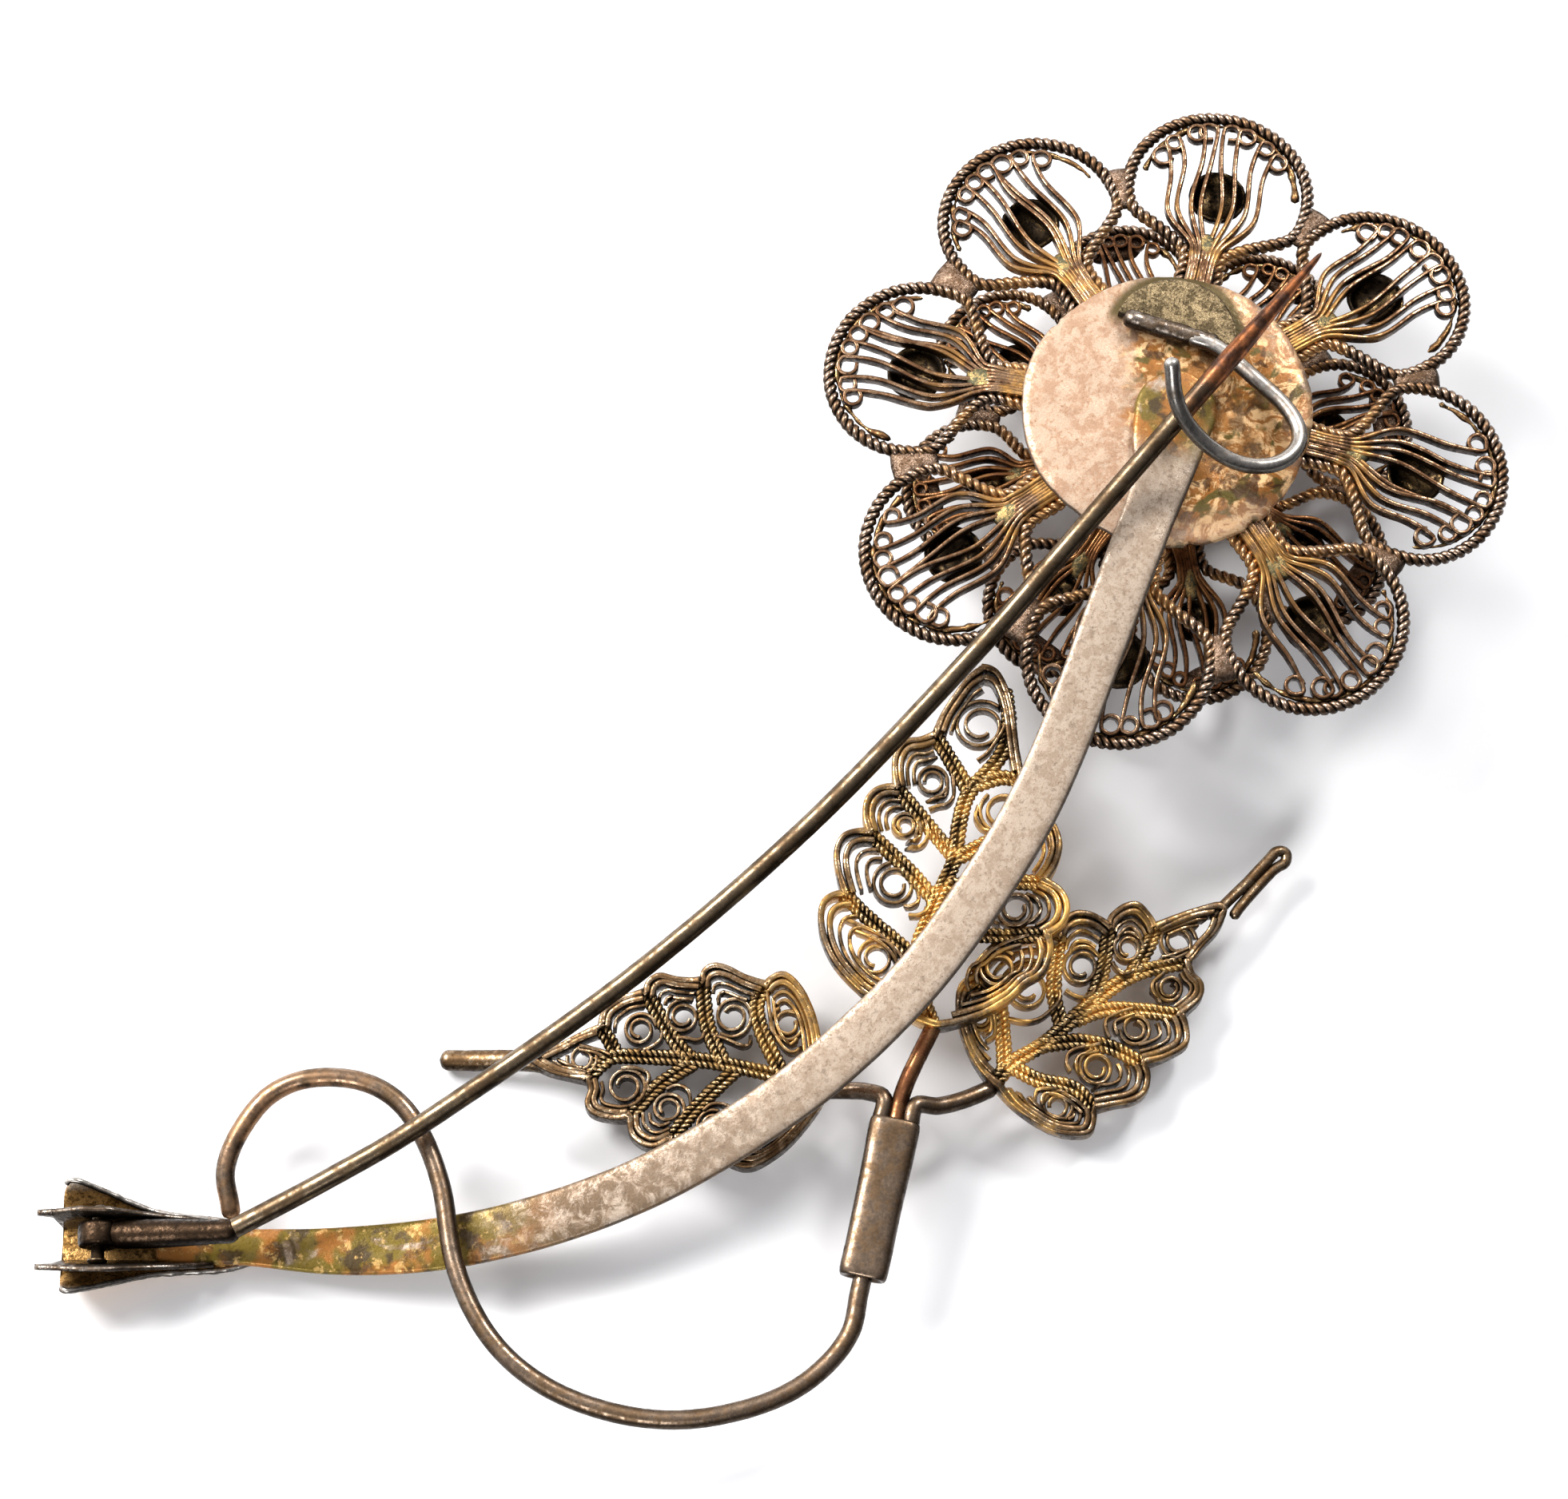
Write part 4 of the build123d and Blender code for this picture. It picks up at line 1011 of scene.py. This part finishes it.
def eased(points):
    """Points at a quarter and three quarters of each run, so that a smooth line keeps inside the corners."""
    cut = [points[0]]
    for a, b in zip(points, points[1:]):
        cut += [a.lerp(b, 0.25), a.lerp(b, 0.75)]
    return cut + [points[-1]]


HOOK_LINE = [(3.2, 2.3, -0.35), (4.1, 0.75, -0.3), (4.25, -1.4, -0.05), (4.5, -4.4, 0.1), (3.7, -6.2, 0.4),
             (1.8, -6.5, 0.8), (0.0, -5.4, 1.5), (-1.0, -3.4, 2.5), (-1.25, -1.5, 4.1), (-0.2, 0.3, 5.8)]
hook_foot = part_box("catch_hook")[0].z / MM + 0.42
hook_path = eased([at(x, y, hook_foot + z) for x, y, z in HOOK_LINE])
wires("catch_hook_wire", ROUND, [hook_path], HOOK, "bright_wire", "catch_hook", radius=0.42, sides=20, step=0.12,
      unevenness=0.03)


def tab_rings():
    """A half-round plate whose straight edge is rolled up; on the disc round its arc a dark ring is painted as shade.
    """
    centre, radius = Vector(TAB_CENTRE), TAB_RADIUS
    run = Vector((math.cos(TAB_TURN), math.sin(TAB_TURN)))
    over = Vector((-run.y, run.x))
    rings = []
    for k in range(33):
        s = math.sin((-1 + 2 * k / 32) * math.pi / 2) * 0.997
        depth = radius * math.sqrt(1 - s * s)
        start = centre + run * radius * s
        top = [(0.0, 0.25), (0.05, 0.5), (0.25, 0.66), (0.55, 0.6), (0.95, 0.42)]
        for share in (0.3, 0.45, 0.6, 0.75, 0.88):
            top.append((0.95 + (depth - 0.95) * share if depth > 1.2 else depth * (0.3 + share * 0.6), 0.36))
        top += [(depth * 0.97, 0.3), (depth, 0.12)]
        ring = []
        for across, z in top:
            p = start + over * min(across, depth)
            wave = 0.16 * noise.fractal(Vector((p.x, p.y, 2)) * 0.7, 0.8, 2.0, 3)
            ring.append(at(p.x, p.y, DISC_BACK + z + wave * (0 if z < 0.2 else 1)))
        for across in (depth * 0.97, depth * 0.5, 0.1):
            p = start + over * across
            ring.append(at(p.x, p.y, DISC_BACK - 0.02))
        rings.append(ring)
    return rings


shell("catch_tab_plate", [tab_rings()], TAB, "solder_silver", "catch_tab", levels=1)
roll = [at(TAB_CENTRE[0] + math.cos(TAB_TURN) * along, TAB_CENTRE[1] + math.sin(TAB_TURN) * along, DISC_BACK + 0.52)
        for along in (-2.9, -1.5, 0, 1.3, 2.4)]
wires("catch_tab_roll", ROUND, [roll], EAR, "solder_silver", rough=(0.05, 0.6), radius=0.5, sides=16, step=0.16,
      unevenness=0.2)

# ------------------------------------------------------------------ tendril, ferrule and stalks

TENDRIL_LINE = [(-63.6, -0.9, 2.05), (-61.9, 1.9, 2.9), (-57.2, 3.0, 3.6), (-53.3, -0.4, 3.8), (-53.5, -5.2, 3.8),
                (-57.2, -11.8, 3.9), (-57.3, -17.6, 3.9), (-53.8, -23.2, 3.9), (-48.4, -26.3, 3.8), (-43.7, -26.4, 3.7),
                (-40.9, -24.2, 3.9), (-40.3, -23.75, 3.95)]
wires("tendril_wire", ROUND, [eased([at(*p) for p in TENDRIL_LINE])], STALK, "stalk_silver", "tendril", radius=0.5,
      sides=16, step=0.2, unevenness=0.05)

ferrule_back, ferrule_front = at(-40.9, -24.2, 3.9), at(-34.3, -19.0, 4.4)
sleeve_way = (ferrule_front - ferrule_back).normalized()
sleeve_side = Vector((-sleeve_way.y, sleeve_way.x, 0)).normalized()
sleeve_rise = sleeve_way.cross(sleeve_side)


def ferrule_rings():
    """A flattened sleeve whose sheet is folded over along its back."""
    long = (ferrule_front - ferrule_back).length / MM
    rows = [(0.35, 0.5), (0.1, 0.7), (0.0, 0.84), (0.12, 0.95), (0.6, 0.96), (1.5, 0.97), (3.0, 0.95), (4.6, 0.97),
            (6.0, 1.0), (7.2, 1.02), (long - 0.5, 1.04), (long - 0.12, 1.02), (long, 0.9), (long - 0.1, 0.7),
            (long - 0.5, 0.6)]
    rings = []
    for along, share in rows:
        ring = []
        wide, tall = 1.3 * share, 0.85 * share
        for a in round_angles(28):
            across = wide * math.copysign(abs(math.cos(a)) ** 0.6, math.cos(a))
            high = tall * math.copysign(abs(math.sin(a)) ** 0.6, math.sin(a))
            fold = -0.2 * math.exp(-((across - 0.25) / 0.13) ** 2) if abs(math.sin(a)) > 0.3 else 0
            high += fold * (1 if high > 0 else -1)
            dent = 1 + 0.05 * noise.noise(Vector((along * 0.9, across, high)))
            place = sleeve_way * along + sleeve_side * across * dent - sleeve_rise * high * dent
            ring.append(ferrule_back + place * MM)
        rings.append(ring)
    return rings


shell("ferrule_sleeve", [ferrule_rings()], STALK, "stalk_silver", "ferrule", levels=1)

LEFT_ROOT, MIDDLE_ROOT, RIGHT_ROOT = (-35.9, -15.2, 2.9), (-29.8, -16.6, 5.2), (-29.3, -20.6, 3.0)
stalk_lines = []
for beside, root, bend in ((0.96, LEFT_ROOT, (-34.6, -16.6, 3.9)), (0.0, MIDDLE_ROOT, (-32.3, -17.7, 5.0)),
                           (-0.96, RIGHT_ROOT, (-31.8, -20.0, 3.7))):
    start = ferrule_front + sleeve_side * beside * MM * 0.85
    root_at, bend_at = at(*root), at(*bend)
    stalk_lines.append([start - sleeve_way * 0.5 * MM, start + sleeve_way * 0.9 * MM,
                        (start + sleeve_way * 1.1 * MM).lerp(bend_at, 0.75), bend_at.lerp(root_at, 0.4), root_at,
                        bend_at.lerp(root_at, 1.15)])
wires("side_stalks", ROUND, [stalk_lines[0], stalk_lines[2]], STALK, "stalk_silver", "leaf_stalks", radius=0.46,
      sides=14, step=0.16, unevenness=0.06)
wires("middle_stalk", ROUND, [stalk_lines[1]], COPPER, "stalk_silver", radius=0.44, sides=14, step=0.16,
      unevenness=0.12)

# ------------------------------------------------------------------ leaves
# lobes: the outline from cusp to cusp, then the eye of the scroll inside and that eye's radius.
# u runs along the leaf from its root and v across it.
# LOBE_SHARES: how far from the eye the lines inside a lobe stand; beyond INNER_SHARE it belongs to the frame.
LOBE_SHARES, INNER_SHARE = (0.84, 0.66, 0.48, -0.42, -0.6), 0.7
CUSP_GIRTH = 1.25
SPIRAL_POINTS, SPIRAL_TURNS = 26, 1.75

LEAVES = {
    "left": dict(
        root=LEFT_ROOT, run=(-1, 1, -0.099), up=(-0.0495, 0.0495, 1),
        lobes=[
            ([(0.1, 0.3), (0.4, 1.2), (1.4, 2.7), (2.4, 3.8), (3.4, 4.4), (4.3, 4.3), (4.8, 3.8)], (2.7, 2.3), 0.5),
            ([(4.8, 3.8), (5.4, 4.3), (6.4, 4.4), (7.3, 4.0), (7.7, 3.3)], (5.6, 2.4), 0.5),
            ([(7.7, 3.3), (8.4, 3.7), (9.1, 3.6), (9.7, 3.1), (9.9, 2.2)], (8.0, 1.6), 0.5),
            ([(9.9, 2.2), (10.7, 2.3), (11.8, 2.1), (12.2, 1.6), (12.1, 0.9), (12.3, 0.3)], (10.3, 0.6), 0.62),
            ([(12.3, 0.3), (13.2, 0.2), (14.3, 0.0), (15.2, -0.4)], (12.7, -0.75), 0.5),
            ([(15.2, -0.6), (14.0, -1.3), (13.0, -1.9), (11.9, -2.4)], (12.7, -0.75), 0.0),
            ([(11.9, -2.4), (11.8, -3.3), (11.0, -4.0), (10.3, -4.25), (9.7, -4.4)], (9.9, -2.5), 0.5),
            ([(9.7, -4.4), (9.6, -4.95), (9.1, -5.3), (8.3, -5.2), (7.4, -5.2), (6.8, -5.2)], (7.7, -3.3), 0.52),
            ([(6.8, -5.2), (6.75, -5.7), (6.3, -6.0), (5.6, -5.9), (4.6, -5.5), (3.5, -5.2)], (5.1, -3.5), 0.62),
            ([(3.5, -5.2), (3.2, -5.6), (2.6, -5.8), (1.8, -5.2), (1.1, -4.1), (0.6, -2.7), (0.1, -0.3)],
             (2.2, -3.3), 0.55),
        ],
        ribs=[[(0, 0), (1.4, -0.35), (2.7, -0.6), (5.4, -1.0), (7.5, -1.1), (9.6, -1.1), (11.2, -0.95), (12.2, -0.4)],
              [(11.9, -2.4), (11.4, -1.8), (10.9, -1.0)], [(9.7, -4.4), (8.8, -3.1), (7.8, -1.8), (7.0, -1.1)],
              [(6.8, -5.2), (6.4, -3.0), (5.3, -1.0)], [(3.5, -5.2), (3.9, -4.2), (3.5, -2.8), (2.2, -0.6)],
              [(12.3, 0.3), (11.9, -0.3), (11.3, -0.9)], [(9.9, 2.2), (8.6, 0.4), (6.9, -0.9)],
              [(7.7, 3.3), (6.5, 1.4), (4.7, -0.7)], [(4.8, 3.8), (3.9, 1.9), (2.4, -0.4)]],
        tip=[(14.4, -0.45), (15.6, -0.5), (17.0, -0.48), (18.6, -0.4), (20.3, -0.3)], tip_radius=0.56),
    "middle": dict(
        root=MIDDLE_ROOT, run=(1, 0.86, 0.1), up=(-0.1, 0, 1),
        lobes=[
            ([(0.1, 0.5), (0.5, 2.0), (1.0, 3.6), (2.2, 5.3), (3.4, 6.2), (4.5, 6.6), (5.3, 6.6), (5.8, 6.2),
              (6.0, 5.6)], (3.0, 3.5), 0.6),
            ([(6.0, 5.6), (7.2, 6.15), (8.2, 6.4), (9.0, 6.2), (9.4, 5.6), (9.5, 4.9)], (7.0, 3.2), 0.66),
            ([(9.5, 4.9), (10.3, 5.25), (11.1, 5.3), (11.7, 5.0), (12.0, 4.5), (12.1, 3.9)], (10.2, 3.2), 0.42),
            ([(12.1, 3.9), (12.9, 4.15), (13.8, 4.25), (14.6, 3.9), (14.9, 3.1), (15.3, 2.4)], (12.8, 2.2), 0.5),
            ([(15.3, 2.4), (16.4, 2.2), (17.5, 1.75), (18.6, 1.2), (19.3, 0.5)], (16.2, 0.2), 0.8),
            ([(19.3, 0.5), (19.2, -0.1), (18.6, -0.6), (17.6, -1.1), (16.4, -1.5), (15.0, -1.9), (13.5, -2.4)],
             (16.2, 0.2), 0.0),
            ([(13.5, -2.4), (13.4, -3.2), (12.6, -3.9), (11.6, -3.9)], (11.7, -1.7), 0.7),
            ([(11.6, -3.9), (11.2, -4.5), (10.2, -4.9), (9.2, -4.8), (8.3, -4.4)], (9.6, -2.7), 0.6),
            ([(8.3, -4.4), (7.9, -5.3), (7.1, -5.8), (6.2, -5.7), (5.5, -5.0)], (6.7, -3.2), 0.6),
            ([(5.5, -5.0), (4.7, -5.3), (3.6, -5.1), (2.9, -4.3), (1.9, -3.5), (0.9, -2.2), (0.1, -0.5)],
             (3.4, -2.8), 0.6),
        ],
        ribs=[[(0, 0), (1.6, 0.9), (3.4, 1.5), (6.0, 1.05), (7.6, 0.65), (9.0, 0.35), (10.9, 0.4), (12.5, 0.2),
               (13.7, -0.5), (15.0, -1.2), (16.7, -1.25), (18.4, -0.7)],
              [(15.3, 2.4), (14.1, 1.4), (12.6, 0.2)], [(12.1, 3.9), (10.6, 2.2), (9.1, 0.5)],
              [(9.5, 4.9), (8.1, 2.9), (6.5, 0.9)], [(6.0, 5.6), (4.9, 4.0), (3.4, 1.5)],
              [(13.5, -2.4), (13.6, -1.4), (13.0, -0.1)], [(11.6, -3.9), (10.6, -2.0), (8.9, 0.3)],
              [(8.3, -4.4), (7.9, -1.8), (7.4, 0.6)], [(5.5, -5.0), (5.1, -1.8), (5.0, 1.2)]],
        tip=None),
    "right": dict(
        root=RIGHT_ROOT, run=(1, -0.04, 0), up=(0, -0.2756, 0.9613),
        lobes=[
            ([(0.3, 0.2), (0.2, 1.4), (0.5, 2.9), (1.1, 4.3), (1.8, 5.1), (2.7, 5.1)], (1.8, 3.2), 0.42),
            ([(2.7, 5.1), (3.4, 5.6), (5.2, 5.8), (6.4, 5.4), (7.1, 4.8), (7.6, 4.2)], (4.7, 3.0), 0.72),
            ([(7.6, 4.2), (8.1, 4.6), (8.9, 4.6), (9.5, 4.2), (9.9, 3.6), (10.1, 3.0)], (7.7, 2.2), 0.6),
            ([(10.1, 3.0), (10.6, 3.3), (11.4, 3.3), (12.0, 3.0), (12.2, 2.2), (12.1, 1.5)], (10.3, 1.5), 0.5),
            ([(12.1, 1.5), (13.4, 1.2), (14.7, 0.8), (15.6, 0.35)], (12.7, 0.15), 0.6),
            ([(15.6, 0.0), (14.8, -0.5), (13.7, -0.7), (12.9, -0.9), (12.4, -1.0)], (12.7, 0.15), 0.0),
            ([(12.4, -1.0), (12.25, -1.6), (12.3, -2.3), (11.8, -2.8), (10.5, -2.9)], (10.9, -1.5), 0.42),
            ([(10.5, -2.9), (10.3, -3.6), (9.7, -4.25), (8.4, -4.1), (7.3, -3.7)], (8.1, -2.1), 0.5),
            ([(7.3, -3.7), (7.1, -4.4), (6.5, -4.9), (5.7, -4.9), (4.6, -4.4), (3.7, -4.0)], (5.2, -2.5), 0.55),
            ([(3.7, -4.0), (3.4, -4.5), (2.9, -4.85), (2.3, -4.6), (1.5, -3.8), (0.9, -2.6), (0.5, -1.3), (0.4, -0.1)],
             (2.3, -2.8), 0.5),
        ],
        ribs=[[(0.3, 0.1), (1.7, 0.4), (3.6, 0.2), (5.2, 0.3), (6.8, 0.4), (8.7, 0.4), (10.3, 0.1), (12.3, -0.8)],
              [(2.7, 5.1), (2.9, 3.3), (2.1, 1.7), (1.2, 0.4)], [(7.6, 4.2), (5.8, 2.2), (5.0, 0.4)],
              [(10.1, 3.0), (8.5, 1.4), (7.1, 0.5)], [(12.1, 1.5), (11.1, 0.9), (9.6, 0.3)],
              [(10.5, -2.9), (9.0, -1.5), (7.4, -0.3), (5.8, 0.2)], [(7.3, -3.7), (6.5, -2.1), (5.3, -0.8), (3.6, 0.2)],
              [(3.7, -4.0), (3.6, -2.6), (2.3, -1.1), (1.6, 0.3)]],
        tip=[(14.9, 0.1), (16.0, 0.3), (17.9, 0.5), (19.4, 0.76), (20.05, 0.86), (20.42, 0.52), (20.1, 0.14),
             (19.4, 0.18), (18.3, 0.02), (16.6, -0.3), (15.9, -0.55)], tip_radius=0.3),
}


def leaf_axes(leaf):
    """A leaf's root, and the ways along it, across it and up from it."""
    rise_way = Vector(leaf["up"]).normalized()
    run = Vector(leaf["run"])
    run = (run - rise_way * run.dot(rise_way)).normalized()
    return at(*leaf["root"]), run, rise_way.cross(run), rise_way


def on_leaf(leaf, u, v, lift=0.0):
    """A place on a leaf, which is a little cupped across and droops at its tip."""
    root, run, across, rise_way = leaf_axes(leaf)
    cup = 0.014 * v * v - 0.0022 * u * u + 0.08 * math.sin(u * 1.3 + v)
    return root + (run * u + across * v + rise_way * (cup + lift)) * MM


def alongside(line, shift):
    """The line moved sideways by shift."""
    points = [Vector(p) for p in line]
    moved = []
    for i, p in enumerate(points):
        way = (points[min(i + 1, len(points) - 1)] - points[max(i - 1, 0)]).normalized()
        moved.append((p.x - way.y * shift, p.y + way.x * shift))
    return moved


for name, leaf in LEAVES.items():
    outline, inner_lines, scrolls = ["closed"], [], []
    for number, (edge, eye, eye_radius) in enumerate(leaf["lobes"]):
        outline.append((on_leaf(leaf, *edge[0]), CUSP_GIRTH))
        outline += [on_leaf(leaf, *p) for p in edge[1:-1]]
        outline.append((on_leaf(leaf, *edge[-1]), CUSP_GIRTH))
        dice = random.Random(f"{name} lobe {number}")
        eye = Vector(eye)
        for share in LOBE_SHARES:
            bent = [eye + (Vector(p) - eye) * share for p in edge]
            if share > INNER_SHARE:
                inner_lines.append([on_leaf(leaf, p.x, p.y, 0.05) for p in bent])
            elif eye_radius and max((p - eye).length for p in bent) > eye_radius * 1.5 + 0.3:
                scrolls.append([on_leaf(leaf, p.x, p.y, dice.uniform(-0.1, 0.15)) for p in bent])
        if eye_radius:
            start = dice.uniform(0, 6.28)
            lead = eye_radius * 1.75
            spiral = []
            for k in range(SPIRAL_POINTS):
                t = k / (SPIRAL_POINTS - 1)
                reach = lead + (eye_radius * 0.75 - lead) * t
                a = start + t * 2 * math.pi * SPIRAL_TURNS
                spiral.append(on_leaf(leaf, eye.x + reach * math.cos(a), eye.y + reach * math.sin(a), -0.05))
            scrolls.append(spiral)
    wires(f"{name}_leaf_outline", FLAT, [outline, *inner_lines], LEAF, "leaf_silver", f"{name}_leaf_frame",
          width=0.34, height=1.15, step=0.14, unevenness=0.3)
    wires(f"{name}_leaf_scroll_wires", FLAT, scrolls, LEAF, "leaf_silver", f"{name}_leaf_scrolls", width=0.2,
          height=0.85, step=0.12, unevenness=0.35)
    pairs = [[on_leaf(leaf, *beside, 0.16) for beside in alongside(rib, shift)]
             for rib in leaf["ribs"] for shift in (-0.21, 0.21)]
    wires(f"{name}_leaf_ribs", TWISTED, pairs, RIB, "leaf_silver", strand_radius=0.115, strands=2, pitch=0.62,
          sides=6, step=0.075, unevenness=0.7)
    cores = [[on_leaf(leaf, u, v, -0.12) for u, v in rib] for rib in leaf["ribs"]]
    wires(f"{name}_leaf_rib_solder", ROUND, cores, RIB, "leaf_silver", rough=(0.05, 0.5), radius=0.3, sides=10,
          step=0.14, unevenness=0.7)
    if leaf["tip"]:
        wires(f"{name}_leaf_tip", ROUND, [[on_leaf(leaf, u, v) for u, v in leaf["tip"]]], LEAF, "leaf_silver",
              radius=leaf["tip_radius"], sides=14, step=0.12, unevenness=0.2)

# ------------------------------------------------------------------ floor and room

floor_mesh = bpy.data.meshes.new("floor")
floor_mesh.from_pydata([Vector((x, y, 0)) for x, y in ((-3, -3), (3, -3), (3, 3), (-3, 3))], [], [(0, 1, 2, 3)])
floor = bpy.data.objects.new("floor", floor_mesh)
bpy.context.scene.collection.objects.link(floor)
paper = bpy.data.materials.new("paper")
paper.use_nodes = True
paper_nodes = Nodes(paper.node_tree)
grain = paper_nodes.noise(paper_nodes.add("ShaderNodeTexCoord")["Object"], 60.0, 3.0)
paper_shader = paper.node_tree.nodes["Principled BSDF"]
paper.node_tree.links.new(paper_nodes.blend(grain, (0.86, 0.86, 0.87, 1), (0.9, 0.9, 0.905, 1)),
                          paper_shader.inputs["Base Color"])
paper_shader.inputs["Roughness"].default_value = 0.7
floor_mesh.materials.append(paper)

room = bpy.data.worlds.new("room")
bpy.context.scene.world = room
room.use_nodes = True
room_nodes = Nodes(room.node_tree)
heading = room_nodes.add("ShaderNodeSeparateXYZ", {0: room_nodes.add("ShaderNodeTexCoord")["Generated"]})
glow = room_nodes.spread(heading["Y"], -0.5, 0.8, 0.1, 1.0)
room_shader = room.node_tree.nodes["Background"]
room.node_tree.links.new(room_nodes.blend(glow, (0.2, 0.2, 0.22, 1), (1.0, 1.0, 1.02, 1)), room_shader.inputs["Color"])
room_shader.inputs["Strength"].default_value = 0.7
